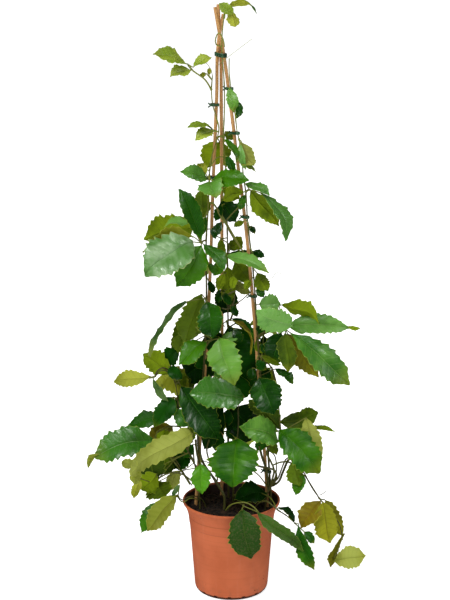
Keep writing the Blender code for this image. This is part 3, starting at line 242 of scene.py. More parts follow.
# The compound leaves of each stem: where the stalk leaves the stem, the points that the stalk
# passes, of which the last is the joint of its leaflets, and the leaflets themselves. A leaflet is a
# row: its tint, where it starts and ends on the drawing, its width in millimetres, how far its upper
# face is turned from the viewer in degrees, and its arch as a part of its length where that isn't
# 0.06. A few give more by name: fold and twist in degrees, where along it it is widest (swell), and
# how blunt its ends are.
LEAVES = {
    "vine_back": [
        ((-16, 1165), [(-13, 1178, 6)], [
            ("tan", (-8, 1186, 4), (48, 1177, -20), 30, -112, 0.20),
            ("fresh", (3, 1173, -2), (-24, 1193, -8), 22, 10, 0.05),
            ("tan", (-1, 1179, 2), (7, 1149, -14), 25, 158, 0.10),
        ]),
        ((-16, 940), [(-28, 938, 40)], [
            ("olive", (-30, 932, 54), (-48, 878, 58), 46, 172),
            ("olive", (-24, 931, 62), (-10, 881, 70), 34, 165),
        ]),
        ((-16, 928), [], [
            ("mid", (-13, 934, -6), (11, 891, -28), 28, -62, 0.10),
            ("olive", (-12, 951, 32), (5, 934, 34), 18, 150, 0.10),
        ]),
        ((-9, 812), [(-20, 818, 28)], [
            ("satin", (-21, 815, 26), (8, 773, 16), 42, 8, 0.08),
            ("olive", (-16, 842, 34), (14, 818, 40), 32, 160, 0.08),
        ]),
        ((-8, 700), [(-10, 708, 30)], [
            ("pale", (-10, 705, 8), (74, 671, -36), 32, -38, 0.10),
            ("olive", (6, 692, 24), (38, 650, 20), 38, 170, 0.08),
            ("olive", (-9, 684, 26), (0, 614, 16), 32, 162),
            ("satin", (-8, 708, 38), (58, 704, 36), 26, 10),
            ("olive", (-6, 716, 40), (20, 742, 44), 28, 165),
        ]),
        ((-8, 655), [], [
            ("pinkolive", (2, 653, 46), (38, 628, 46), 24, 160),
            ("deep", (-7, 645, 44), (-16, 585, 52), 46, 0),
        ]),
        ((-6, 560), [(-10, 571, 20)], [
            ("rust", (-10, 572, 10), (44, 506, -30), 34, -52, 0.26, {"twist": -70.0}),
            ("deep", (0, 577, 16), (43, 548, 6), 20, -20),
            ("deep", (-8, 558, 30), (34, 448, 30), 88, 4, 0.03, {"fold": 4.0}),
            ("deep", (-30, 556, 52), (-40, 478, 54), 58, 6, 0.03, {"fold": 6.0}),
        ]),
        ((-4, 470), [(-6, 478, 30)], [
            ("deep", (-26, 498, 42), (-98, 452, 58), 76, 10),
            ("deep", (12, 476, 42), (46, 420, 46), 66, -6, 0.03, {"fold": 6.0}),
            ("deep", (2, 466, 15), (-8, 392, 13), 78, 0, 0.03, {"fold": 6.0}),
        ]),
        ((-5, 380), [(-8, 388, 30)], [
            ("deep", (-14, 392, 34), (-76, 336, 44), 84, 8),
            ("deep", (-2, 392, 36), (52, 324, 44), 84, -8),
        ]),
        ((-4, 470), [(-8, 488, 110)], [
            ("mid", (-12, 490, 114), (-78, 466, 165), 62, 60, 0.12),
            ("mid", (-8, 490, 118), (-16, 432, 192), 64, 0, -0.14),
            ("fresh", (-4, 490, 114), (52, 462, 168), 62, -60, 0.12),
        ]),
        ((-5, 360), [(24, 360, 104)], [
            ("mid", (28, 360, 108), (92, 340, 158), 58, -60, 0.12),
            ("fresh", (24, 360, 112), (34, 304, 180), 60, 0, -0.14),
            ("mid", (20, 360, 108), (-30, 338, 166), 56, 60, 0.12),
        ]),
        ((-6, 560), [(30, 562, 96)], [
            ("fresh", (34, 562, 100), (96, 540, 148), 56, -60, 0.12),
            ("mid", (30, 560, 104), (40, 500, 160), 56, 0, -0.14),
        ]),
        ((-8, 690), [(-58, 706, 92)], [
            ("mid", (-62, 706, 96), (-122, 700, 140), 54, 60, 0.12),
            ("fresh", (-60, 704, 100), (-72, 652, 156), 56, 0, -0.14),
        ]),
    ],
    "vine_left": [
        ((-39, 1030), [(-52, 1050, 8), (-74, 1066, 0), (-83, 1077, -4)], [
            ("fresh", (-84, 1079, -5), (-150, 1099, -34), 40, 60),
            ("fresh", (-78, 1067, -3), (-118, 1056, -24), 30, 40),
            ("fresh", (-74, 1073, -2), (-39, 1093, 10), 28, -45),
        ]),
        ((-26, 950), [], [
            ("fresh", (-36, 953, 12), (-85, 959, -16), 24, 62, 0.12),
            ("fresh", (-36, 950, 10), (-70, 935, -14), 28, 32, 0.08),
        ]),
        ((-43, 866), [(-43, 856, 6)], [
            ("grass", (-48, 856, 4), (-98, 873, -22), 34, 30, 0.10),
            ("mid", (-38, 854, 0), (32, 857, -26), 40, -28, 0.08),
            ("pale", (-43, 852, 0), (-33, 822, -48), 50, 0, 0.08),
            ("tan", (-50, 866, 14), (-66, 889, 8), 22, 160, 0.05),
        ]),
        ((-47, 790), [(-54, 776, 20)], [
            ("deepolive", (-58, 778, 32), (-59, 838, 36), 32, 170, 0.05),
        ]),
        ((-50, 735), [(-60, 730, 0)], [
            ("mid", (-60, 736, -6), (-100, 837, -30), 44, 26, 0.08, {"swell": 0.60}),
            ("olive", (-72, 764, 40), (-173, 738, 38), 68, 160),
            ("tan", (-74, 742, -2), (-177, 716, -24), 50, 130, 0.12),
            # This leaflet's tint carries a whitish painted highlight.
            ("sheen", (-76, 732, -10), (-172, 668, -66), 86, 22, 0.10, {"blunt": 1.25}),
            ("mid", (-60, 725, -10), (-108, 642, -46), 64, -14, 0.08),
            ("grass", (-56, 728, -4), (-12, 679, -26), 36, -42, 0.08),
            ("pale", (-82, 770, 12), (-134, 765, 6), 28, 56, 0.08),
        ]),
        ((-50, 610), [(-52, 618, 2)], [
            ("sage", (-89, 611, -24), (-168, 500, -52), 50, 72, 0.05),
            ("deepolive", (-60, 627, -6), (-94, 524, -16), 54, 168),
            ("deepolive", (-68, 603, 26), (-121, 505, 24), 36, 164),
            ("satin", (-49, 612, -8), (-38, 536, -34), 56, 4),
        ]),
        ((-54, 510), [(-40, 532, -10)], [
            ("mid", (-50, 530, -12), (-106, 481, -52), 44, 24, 0.08),
            ("bright", (-24, 536, -16), (6, 439, -64), 68, -6, 0.08),
            ("teal", (-22, 534, -4), (14, 538, -10), 24, -36),
        ]),
        ((-64, 292), [], [
            ("vivid", (-62, 271, -10), (-60, 204, -30), 38, 4, 0.08),
        ]),
    ],
    "vine_right": [
        ((0, 1020), [], [
            ("bright", (-4, 1035, 2), (4, 987, -12), 22, -12, 0.08),
        ]),
        ((4, 1000), [], [
            ("mid", (8, 1011, 6), (9, 975, -6), 26, -45, 0.08),
        ]),
        ((14, 935), [(15, 932, 6)], [
            ("pinkolive", (18, 932, 4), (43, 882, -20), 38, 158, 0.16),
            ("fresh", (16, 892, 4), (48, 872, 2), 18, -66),
        ]),
        ((28, 830), [(34, 836, 2)], [
            ("teal", (27, 848, 0), (74, 828, -20), 28, -42, 0.10),
            ("olive", (36, 836, 4), (92, 763, -10), 38, 168, 0.08),
            ("teal", (56, 830, -4), (112, 738, -30), 48, -60, 0.15),
            ("olive", (24, 832, 0), (-20, 816, -14), 34, 140, 0.10),
        ]),
        ((31, 775), [], [
            ("olive", (24, 774, 5), (4, 763, -2), 14, 30, 0.05),
        ]),
        ((37, 722), [], [
            ("deep", (40, 712, 4), (65, 702, -6), 18, -30, 0.08),
        ]),
        ((42, 680), [], [
            ("olive", (50, 670, 2), (72, 633, -8), 32, 164),
        ]),
        ((48, 604), [], [
            ("mint", (54, 606, 6), (97, 608, 8), 44, 16),
        ]),
        ((52, 537), [(75, 549, -4), (108, 554, -14)], [
            ("mint", (121, 566, -20), (50, 590, -60), 56, -20, 0.06, {"blunt": 1.3}),
            ("olive", (94, 604, 2), (178, 571, -16), 50, -122, 0.07),
            ("pale", (114, 561, 14), (236, 559, 2), 44, -12, 0.06, {"swell": 0.42}),
            ("grass", (116, 548, -20), (238, 440, -78), 62, -10, 0.10, {"swell": 0.62}),
            ("satin", (100, 548, 4), (80, 482, -2), 50, 14),
            ("deepolive", (107, 547, -24), (113, 466, -34), 38, 165),
            ("khaki", (112, 545, -2), (173, 455, -8), 46, 168),
            ("rust", (100, 551, 2), (72, 566, 0), 16, 160),
        ]),
        ((54, 500), [(66, 488, 0), (80, 474, -4), (92, 420, -8), (99, 350, -8), (100, 338, -10)], [
            ("bright", (98, 318, -14), (18, 350, -56), 56, 22),
            ("deepolive", (100, 344, -8), (34, 408, -32), 46, 158, 0.08),
            ("deepolive", (99, 358, 5), (175, 381, -16), 50, 156, 0.12),
            ("mid", (96, 342, -18), (181, 251, -58), 68, -4, 0.10, {"blunt": 1.2}),
            ("lime", (151, 369, -25), (181, 270, -35), 42, 166),
            ("olive", (150, 350, 4), (210, 341, 0), 12, -30),
        ]),
        ((60, 455), [(58, 458, 6)], [
            ("satin", (56, 454, -14), (85, 376, -44), 68, 4),
            ("olive", (66, 476, 21), (78, 440, 22), 32, 166),
            ("mid", (88, 472, 0), (125, 443, -14), 30, -48, 0.08),
            ("olive", (60, 502, -6), (99, 479, -16), 14, 150),
            ("deep", (64, 543, 20), (68, 478, 20), 28, 0, 0.03, {"fold": 6.0}),
        ]),
    ],
    "shoot_left": [
        ((-152, 457), [(-154, 456, -5)], [
            ("tan", (-157, 455, -6), (-238, 446, -34), 33, 158, 0.08, {"swell": 0.64, "blunt": 1.3}),
            ("sage", (-158, 454, -8), (-130, 402, -22), 22, 45, 0.08),
        ]),
        ((-124, 462), [(-124, 468, 2)], [
            ("olive", (-122, 463, 2), (-177, 505, -2), 46, 164),
            ("tan", (-138, 470, 6), (-86, 424, 2), 58, 168),
        ]),
        ((-113, 440), [(-106, 444, -6)], [
            ("deep", (-126, 477, -12), (-100, 450, -24), 26, 0, 0.08),
            ("olive", (-100, 452, 26), (-78, 426, 26), 30, 166),
            ("satin", (-102, 436, 0), (-26, 322, -30), 72, 0, 0.08),
        ]),
        ((-109, 405), [(-118, 412, -6)], [
            ("deep", (-118, 412, -8), (-158, 348, -28), 38, 14, 0.08, {"swell": 0.36}),
            ("satin", (-150, 371, 14), (-216, 348, 12), 36, 24, 0.04, {"swell": 0.30}),
        ]),
        ((-107, 388), [], [
            ("grass", (-114, 387, -14), (-86, 350, -24), 32, 4),
        ]),
        ((-104, 350), [(-130, 350, 0), (-150, 338, -4)], [
            ("gloss", (-158, 321, 4), (-278, 289, -38), 70, 22, 0.08, {"swell": 0.56, "blunt": 1.3}),
            ("rust", (-120, 350, 14), (-168, 312, 22), 46, 168),
        ]),
        ((-90, 300), [(-80, 318, -22)], [
            ("lime", (-78, 336, -28), (-213, 250, -98), 48, 156, 0.06,
             {"fold": 20.0, "swell": 0.38, "blunt": 2.4}),
        ]),
        ((-76, 272), [(-78, 298, 2)], [
            ("deep", (-80, 298, 12), (-116, 260, 12), 46, 22),
        ]),
        ((-68, 225), [(-80, 232, -8), (-98, 246, -10), (-122, 251, -14), (-146, 240, -18),
                      (-157, 227, -20)], [
            ("deepolive", (-156, 232, -20), (-170, 284, -28), 60, 172),
            ("olive", (-160, 234, -14), (-136, 197, -34), 56, 160, 0.08),
            ("olive", (-152, 248, -24), (-184, 212, -44), 50, 160),
            ("lime", (-106, 254, -4), (-130, 210, 0), 28, 172),
            ("olive", (-110, 286, 10), (-162, 248, 6), 46, 160),
            ("tan", (-188, 238, -54), (-201, 195, -66), 20, 164),
        ]),
    ],
    "shoot_right": [
        ((122, 279), [], [
            ("deepolive", (124, 275, -38), (140, 222, -58), 38, 166),
        ]),
        ((150, 248), [], [
            ("mid", (149, 245, -40), (131, 203, -54), 26, 14, 0.08),
        ]),
        ((180, 196), [(181, 194, -41)], [
            ("yellow", (184, 190, -44), (142, 129, -62), 42, 20),
            ("khaki", (187, 188, -56), (203, 97, -78), 52, 168),
            ("khaki", (192, 192, -22), (230, 112, -14), 42, 160, 0.12),
        ]),
        ((229, 114), [(228, 104, -45)], [
            ("khaki", (234, 118, -46), (204, 44, -64), 24, 136, 0.06, {"swell": 0.72}),
            ("lime", (211, 57, -52), (276, 68, -80), 48, -10, 0.06, {"swell": 0.60}),
        ]),
    ],
    "shoot_front": [
        ((25, 180), [(25, 178, -88)], [
            ("speckled", (22, 172, -98), (42, 61, -114), 70, 4, 0.08),
            ("speckled", (52, 166, -92), (149, 78, -112), 30, -10),
        ]),
    ],
    "shoot_side": [
        ((94, 172), [], [
            ("deep", (98, 176, -78), (131, 146, -88), 34, -62, 0.08),
        ]),
        ((131, 141), [(132, 139, -83)], [
            ("mid", (138, 140, -84), (172, 36, -108), 32, 14, 0.06, {"swell": 0.60}),
            ("mid", (150, 122, -84), (172, 96, -92), 19, -20),
        ]),
    ],
    "sprig_left": [
        ((-108, 197), [(-109, 199, -38)], [
            ("lime", (-111, 203, -40), (-175, 122, -84), 46, 162),
            ("mid", (-142, 190, -32), (-189, 120, -62), 36, 30),
            ("sage", (-106, 224, -42), (-122, 200, -50), 12, 30),
        ]),
    ],
    "shoot_centre": [
        ((10, 312), [(8, 322, -24)], [
            ("mid", (12, 324, -30), (3, 220, -80), 98, 4, 0.08, {"blunt": 1.2}),
        ]),
        ((20, 416), [(22, 418, -6)], [
            ("gloss", (26, 413, -13), (-84, 421, -44), 66, 14, 0.08, {"blunt": 1.2}),
        ]),
        ((5, 200), [(30, 214, 14), (56, 210, 2)], [
            ("deep", (74, 208, -2), (6, 195, -34), 48, 40),
        ]),
    ],
}

# Extra bare twigs, by stem: where each leaves the stem, its points and its radius in metres.
TWIGS = {
    "vine_back": [
        ((-19, 1112), [(-30, 1116, 8), (-31, 1127, 6), (-25, 1138, 4), (-17, 1127, 3),
                       (-14, 1111, 4)], 0.0012),
        ((-14, 900), [(-30, 898, 14), (-46, 872, 8)], 0.0010),
        ((-8, 700), [(-4, 724, 24), (-18, 737, 16), (-33, 746, 8)], 0.0011),
    ],
    "vine_left": [
        ((-47, 812), [(-33, 806, 8), (-25, 788, 0), (-12, 768, -2), (1, 744, 2), (16, 722, 7),
                      (27, 704, 9)], 0.0013),
        ((-60, 278), [(-46, 272, 2), (-34, 262, 0), (-32, 252, -4)], 0.0010),
    ],
    "vine_right": [
        ((74, 300), [(88, 288, -4), (92, 262, -10), (89, 240, -10), (80, 226, -4)], 0.0014),
    ],
    "shoot_left": [
        ((-76, 272), [(-98, 258, -2), (-112, 276, 2), (-124, 290, 4)], 0.0010),
    ],
}

# Each tie: how high it is on the drawing, half its own height in metres and what it goes around.
TIES = {
    "tie_top": (1098, 0.0040, ["cane_left", "cane_right", "cane_back", "vine_back"]),
    "tie_upper_left": (1002, 0.0027, ["cane_left", "vine_left"]),
    "tie_upper_right": (1033, 0.0027, ["cane_right", "vine_right"]),
    "tie_right_high": (948, 0.0027, ["cane_right", "vine_right"]),
    "tie_left_middle": (862, 0.0027, ["cane_left", "vine_left"]),
    "tie_right_middle": (784, 0.0027, ["cane_right", "vine_right"]),
    "tie_right_low": (626, 0.0027, ["cane_right", "vine_right"]),
    "tie_right_foot": (262, 0.0027, ["cane_right", "vine_right"]),
}

# Bare shoots and tendrils too fine for the solids, by stem: points, radius in metres, greenness.
TENDRILS = {
    "vine_back": [
        ([(-6, 600, 0), (8, 606, 0), (24, 618, -2), (40, 634, -2)], 0.0012, 0.10),
        ([(-22, 632, 4), (-12, 622, 2), (-4, 606, 2), (2, 590, 2), (-2, 574, 4)], 0.0020, 0.15),
        ([(-8, 612, 0), (-14, 620, 0), (-2, 629, -2), (8, 633, -2)], 0.0018, 0.10),
        ([(-20, 598, 4), (-6, 596, 2), (4, 610, 0), (6, 624, 0)], 0.0015, 0.15),
        ([(-14, 560, 6), (-24, 574, 0), (-34, 590, -4), (-44, 602, -6)], 0.0012, 0.70),
        ([(-38, 812, 10), (-20, 786, 6), (2, 748, 2), (18, 720, 2), (34, 694, 4)], 0.0019, 0.55),
        ([(-10, 776, 8), (2, 790, 2), (18, 806, 0), (28, 820, 2)], 0.0015, 0.10),
        ([(-48, 722, 8), (-30, 716, 4), (-12, 704, 6)], 0.0015, 0.60),
    ],
    "vine_left": [
        ([(-73, 322, 6), (-70, 292, 6), (-63, 262, 6), (-55, 236, 8)], 0.0024, 0.55),
        ([(-45, 322, 4), (-50, 302, 2), (-48, 286, 2), (-43, 271, 2)], 0.0018, 0.40),
        ([(-102, 298, 2), (-86, 286, 0), (-74, 268, -4), (-64, 258, -6)], 0.0016, 0.95),
        ([(-62, 258, -4), (-46, 255, -2), (-32, 250, 2), (-28, 234, 4)], 0.0016, 0.80),
        ([(-72, 559, -30), (-58, 546, -28), (-46, 538, -20), (-37, 532, -12)], 0.0009, 1.00),
        ([(-37, 1057, 18), (-40, 1068, 14), (-46, 1078, 10), (-52, 1083, 8)], 0.0006, 0.9),
    ],
    "vine_right": [
        ([(57, 308, 2), (62, 286, 0), (70, 262, -2), (74, 238, -4), (76, 212, -4)], 0.0026, 0.45),
        ([(79, 314, -4), (72, 294, -5), (80, 276, -6), (87, 256, -8), (83, 234, -8), (79, 214, -6)],
         0.0021, 0.70),
        ([(46, 269, -14), (60, 264, -12), (74, 261, -10), (88, 256, -12), (92, 242, -12), (87, 228, -10),
          (78, 219, -8)], 0.0023, 0.50),
        ([(86, 268, -6), (98, 273, -10), (112, 275, -16), (121, 272, -20)], 0.0018, 0.90),
        ([(47, 253, -12), (57, 244, -10), (66, 232, -6), (72, 222, -4)], 0.0015, 0.95),
        ([(80, 477, -6), (86, 458, -8), (91, 436, -9), (93, 418, -9)], 0.0018, 0.10),
        ([(50, 537, 0), (62, 547, -3), (78, 551, -6), (100, 554, -12), (119, 562, -18)], 0.0014, 0.20),
        ([(-25, 1078, 14), (-1, 1097, 6), (39, 1127, -6)], 0.0004, 1.0),
        ([(46, 630, 8), (60, 655, 0), (72, 656, -6), (82, 662, -8), (88, 670, -10), (96, 669, -10),
          (99, 664, -9)], 0.0005, 0.8),
        ([(28, 810, 8), (40, 790, 2), (42, 772, 0), (36, 758, 2), (38, 746, 4), (42, 744, 4)],
         0.0004, 0.7),
    ],
    "shoot_left": [
        ([(-152, 458, -5), (-156, 455, -6), (-166, 453, -8)], 0.0024, 0.80),
        ([(-130, 291, 2), (-114, 270, 0), (-100, 250, -2), (-85, 225, -2)], 0.0016, 0.80),
        ([(-123, 289, 4), (-110, 272, 3), (-96, 248, 1), (-81, 223, 0)], 0.0013, 0.90),
        ([(-154, 456, -5), (-148, 468, -4), (-137, 474, -2), (-128, 470, 2)], 0.0017, 0.10),
    ],
    "shoot_right": [
        ([(122, 281, -21), (115, 277, -19), (105, 252, -17), (97, 232, -14), (84, 222, -8)],
         0.0024, 0.15),
        ([(149, 248, -30), (160, 229, -34), (172, 209, -38), (181, 194, -41)], 0.0017, 0.15),
        ([(181, 202, -40), (188, 206, -42), (194, 212, -44)], 0.0008, 0.10),
    ],
    "shoot_front": [
        ([(-12, 168, -60), (-2, 180, -68), (16, 186, -78), (34, 184, -84), (48, 174, -90), (56, 164, -92)],
         0.0013, 1.10),
    ],
    "shoot_side": [
        ([(62, 206, -10), (78, 198, -34), (88, 184, -62), (94, 170, -74), (110, 160, -80),
          (131, 141, -84)], 0.0012, 0.95),
    ],
    "sprig_left": [
        ([(-112, 201, -38), (-105, 190, -44), (-97, 187, -52), (-84, 195, -40), (-64, 191, -8)],
         0.0012, 0.95),
    ],
}

# Leaflets too small for the solids, by stem, each after the place where its stalk leaves the stem.
SMALL_LEAFLETS = {
    "vine_back": [
        ((-9, 812), ("deep", (-18, 806, 10), (-32, 774, 8), 17, 12, 0.08)),
        ((-8, 770), ("satin", (-20, 772, 12), (-37, 742, 6), 19, 10, 0.08)),
        ((-8, 740), ("olive", (-22, 738, 12), (-12, 702, 8), 17, 165)),
        ((-8, 700), ("mid", (-16, 702, 14), (-36, 664, 8), 22, 12, 0.10)),
        ((-8, 672), ("olive", (-14, 668, 12), (-28, 634, 6), 20, 168, 0.08)),
        ((-7, 640), ("deep", (-14, 634, 8), (-34, 612, 6), 20, 8)),
        ((-7, 610), ("deep", (-2, 604, -2), (-20, 632, -4), 17, 10, 0.08)),
        ((-7, 610), ("deep", (-2, 602, 0), (12, 580, -2), 16, -20, 0.08)),
        ((-7, 640), ("olive", (0, 636, 6), (4, 664, 2), 16, 165, 0.08)),
        ((-5, 390), ("deep", (-6, 388, 26), (-12, 350, 28), 24, 5, 0.05)),
        ((-5, 360), ("deep", (-2, 352, 26), (4, 322, 24), 26, 0, 0.05)),
        ((-14, 900), ("mid", (-10, 902, 6), (6, 872, 0), 18, 10, 0.08)),
        ((-5, 340), ("deep", (-22, 338, 14), (-34, 298, 10), 28, 8)),
        ((-5, 340), ("satin", (-34, 340, 16), (-56, 302, 12), 30, 12)),
        ((-8, 560), ("satin", (4, 556, -4), (20, 528, -10), 20, 4)),
    ],
    "vine_left": [
        ((-56, 545), ("deep", (-106, 512, 14), (-138, 482, 12), 36, 6)),
        ((-56, 560), ("deepolive", (-96, 545, 8), (-108, 506, 10), 32, 165)),
        ((-56, 560), ("deepolive", (-66, 566, 6), (-88, 534, 8), 32, 168)),
        ((-56, 540), ("deep", (-50, 545, 16), (-34, 512, 16), 34, 4)),
        ((-56, 520), ("deep", (-60, 505, 20), (-54, 470, 20), 36, 4)),
        ((-52, 690), ("mid", (-46, 690, 6), (-30, 664, 2), 15, -20, 0.08)),
        ((-52, 660), ("deep", (-46, 654, 6), (-36, 628, 2), 15, -10, 0.08)),
        ((-48, 760), ("satin", (-42, 758, 6), (-30, 738, 4), 12, -20, 0.08)),
        ((-58, 420), ("deep", (-62, 410, 14), (-48, 380, 12), 26, 5)),
        ((-66, 340), ("deepolive", (-78, 354, 4), (-90, 312, 0), 26, 165)),
        ((-66, 310), ("mid", (-78, 312, 6), (-98, 282, 2), 24, 8)),
        ((-48, 770), ("mid", (-50, 782, 4), (-60, 744, 0), 18, 12)),
        ((-39, 1050), ("tan", (-49, 1061, 10), (-62, 1056, 6), 10, 165, 0.05)),
        ((-39, 1050), ("tan", (-44, 1058, 12), (-42, 1072, 8), 9, 165, 0.05)),
    ],
    "shoot_left": [
        ((-110, 440), ("olive", (-112, 466, 8), (-92, 436, 6), 28, 160)),
        ((-130, 455), ("tan", (-124, 462, 4), (-150, 424, 0), 26, 166)),
        ((-110, 400), ("deep", (-96, 420, 10), (-112, 388, 8), 26, 8)),
        ((-100, 330), ("olive", (-132, 344, 6), (-146, 318, 6), 30, 162)),
        ((-95, 290), ("deepolive", (-120, 280, 10), (-146, 250, 8), 34, 166)),
        ((-95, 290), ("deepolive", (-150, 262, 6), (-176, 236, 4), 34, 160)),
        ((-100, 256), ("lime", (-104, 254, 4), (-128, 226, 2), 22, 160)),
    ],
    "vine_right": [
        ((17, 916), ("teal", (16, 926, 0), (27, 874, -8), 14, 20, 0.10)),
        ((45, 660), ("olive", (38, 656, 6), (26, 636, 4), 15, 165)),
        ((50, 570), ("deep", (52, 566, 8), (70, 546, 4), 24, 10)),
        ((50, 540), ("olive", (50, 534, 8), (62, 504, 4), 18, 160)),
        ((54, 480), ("deep", (60, 474, 12), (76, 446, 10), 26, 6)),
        ((88, 440), ("deepolive", (86, 420, 6), (90, 384, 6), 22, 160)),
        ((46, 640), ("mid", (50, 640, 2), (64, 620, -4), 16, -10, 0.08)),
        ((52, 520), ("deep", (58, 524, 6), (74, 506, 2), 18, -10, 0.08)),
        ((54, 500), ("deep", (50, 490, -2), (70, 470, -6), 20, 5)),
        ((56, 470), ("deep", (42, 474, 2), (36, 448, -4), 18, 5)),
        ((28, 826), ("mid", (26, 826, 4), (16, 796, -2), 16, 10)),
        ((31, 775), ("deep", (34, 764, 4), (46, 749, -4), 12, -20)),
        ((62, 330), ("deepolive", (78, 330, 2), (92, 290, -4), 24, 165)),
        ((62, 330), ("mid", (66, 326, 6), (52, 298, 2), 24, 10)),
        ((52, 430), ("deep", (60, 440, 14), (52, 402, 12), 30, 5)),
    ],
}

# Thin drawn-out leaf ends that carry on from a leaflet's tip, by stem.
LEAF_TAILS = {
    "vine_right": [("olive", (230, 561, 2), (257, 557, 0), 9, 150, 0.14, {"twist": 40.0})],
    "shoot_left": [
        ("lime", (-190, 262, -88), (-224, 274, -94), 24, 156, 0.08, {"blunt": 1.5}),
        ("lime", (-188, 254, -88), (-199, 226, -94), 24, 150, 0.08, {"blunt": 1.5}),
        ("lime", (-269, 291, -37), (-293, 260, -42), 14, 120, 0.24, {"twist": 50.0}),
    ],
}

# Leaf colours: which face, the darker and lighter colour, the veins' colour, roughness, specular.
LEAF_TINTS = {
    "fresh": ("top", (0.190, 0.300, 0.010), (0.390, 0.490, 0.050), (0.46, 0.56, 0.12), 0.40, 0.20),
    "bright": ("top", (0.032, 0.160, 0.003), (0.130, 0.340, 0.030), (0.24, 0.42, 0.07), 0.32, 0.35),
    "grass": ("top", (0.020, 0.125, 0.003), (0.088, 0.265, 0.022), (0.20, 0.38, 0.07), 0.30, 0.30),
    "vivid": ("top", (0.028, 0.190, 0.002), (0.085, 0.320, 0.006), (0.22, 0.46, 0.03), 0.34, 0.20),
    "mid": ("top", (0.008, 0.080, 0.0008), (0.050, 0.190, 0.002), (0.07, 0.21, 0.006), 0.30, 0.17),
    # This tint is darkened almost to black: painted shade for the leaves deep inside the plant.
    "deep": ("top", (0.0008, 0.018, 0.0004), (0.006, 0.064, 0.001), (0.018, 0.085, 0.003), 0.30, 0.08),
    "satin": ("top", (0.002, 0.034, 0.0005), (0.016, 0.100, 0.0012), (0.05, 0.19, 0.015), 0.25, 0.25),
    "gloss": ("top", (0.004, 0.070, 0.0012), (0.040, 0.190, 0.008), (0.18, 0.34, 0.08), 0.25, 0.60),
    "pale": ("top", (0.090, 0.270, 0.026), (0.170, 0.400, 0.065), (0.26, 0.43, 0.10), 0.36, 0.25),
    "mint": ("top", (0.022, 0.190, 0.006), (0.180, 0.440, 0.075), (0.34, 0.54, 0.18), 0.28, 0.60),
    "teal": ("top", (0.065, 0.220, 0.018), (0.150, 0.370, 0.060), (0.26, 0.46, 0.12), 0.34, 0.30),
    # This tint's lighter colour is whitish: a painted highlight laid in patches over the leaf's own green.
    "sheen": ("top", (0.090, 0.250, 0.040), (0.350, 0.530, 0.270), (0.10, 0.26, 0.05), 0.28, 0.50),
    "sage": ("top", (0.026, 0.080, 0.010), (0.090, 0.175, 0.042), (0.15, 0.24, 0.06), 0.34, 0.20),
    "speckled": ("top", (0.014, 0.060, 0.002), (0.045, 0.125, 0.006), (0.08, 0.15, 0.02), 0.42, 0.15),
    "olive": ("under", (0.070, 0.120, 0.002), (0.220, 0.320, 0.008), (0.10, 0.13, 0.004), 0.60, 0.06),
    "deepolive": ("under", (0.028, 0.066, 0.002), (0.110, 0.185, 0.005), (0.13, 0.19, 0.01), 0.54, 0.10),
    "pinkolive": ("under", (0.210, 0.250, 0.030), (0.370, 0.410, 0.080), (0.16, 0.15, 0.02), 0.60, 0.06),
    "lime": ("under", (0.230, 0.270, 0.024), (0.380, 0.430, 0.080), (0.19, 0.22, 0.03), 0.60, 0.08),
    "khaki": ("under", (0.135, 0.135, 0.002), (0.310, 0.320, 0.012), (0.08, 0.06, 0.003), 0.54, 0.08),
    "yellow": ("top", (0.190, 0.150, 0.003), (0.500, 0.450, 0.018), (0.30, 0.15, 0.015), 0.50, 0.12),
    "rust": ("under", (0.120, 0.100, 0.003), (0.270, 0.240, 0.015), (0.07, 0.05, 0.005), 0.56, 0.08),
    "tan": ("under", (0.250, 0.280, 0.014), (0.440, 0.480, 0.055), (0.19, 0.20, 0.02), 0.60, 0.06),
}

# The tint of the face that is turned away, by the face that shows, the tints that both faces share,
# and those with grey flecks.
OTHER_FACE = {"top": "olive", "under": "mid"}
BOTH_FACES = ("khaki", "yellow", "lime", "rust")
SPECKLED = ("speckled",)

# Plain colours: leaf tips, rims and flecks, then stems, pot, soil, canes and ties. A pair runs from
# dark to light.
TIP_YELLOW = (0.30, 0.30, 0.012)
RIM_YELLOW = (0.50, 0.54, 0.07)
FLECK_GREY = (0.16, 0.12, 0.06)
STEM_OLD = (0.058, 0.056, 0.011)
STEM_YOUNG = (0.25, 0.29, 0.035)
STEM_LINES = (0.20, 0.19, 0.040)
POT_DARK = (0.475, 0.110, 0.038)
POT_LIGHT = (0.57, 0.141, 0.054)
POT_STREAK = (0.70, 0.30, 0.19)
POT_RING = (0.30, 0.070, 0.026)
POT_DUST = (0.24, 0.10, 0.055)
# Painted shade for the creases at the pot's step and neck.
POT_CREASE_SHADE = (0.20, 0.040, 0.014)
# Painted shadow for the pot's heel and the notches in it.
POT_BASE_SHADOW = (0.030, 0.012, 0.006)
POT_SPECK = (0.12, 0.045, 0.025)
# A nearly black colour for the pot's inner face above the soil.
POT_INNER_DARK = (0.011, 0.006, 0.003)
SOIL_SHADES = ((0.004, 0.003, 0.002), (0.046, 0.024, 0.013))
SOIL_SPECK = (0.16, 0.09, 0.05)
BAMBOO_SHADES = ((0.48, 0.220, 0.070), (0.78, 0.450, 0.165))
BAMBOO_PALE = (0.70, 0.36, 0.17)
BAMBOO_WORN = (0.30, 0.14, 0.040)
BAMBOO_FLECK = (0.10, 0.045, 0.018)
TIE_SHADES = ((0.012, 0.045, 0.018), (0.055, 0.160, 0.070))
FLOOR_COLOUR = (0.85, 0.85, 0.85, 1.0)
WHITE = (1.0, 1.0, 1.0, 1.0)

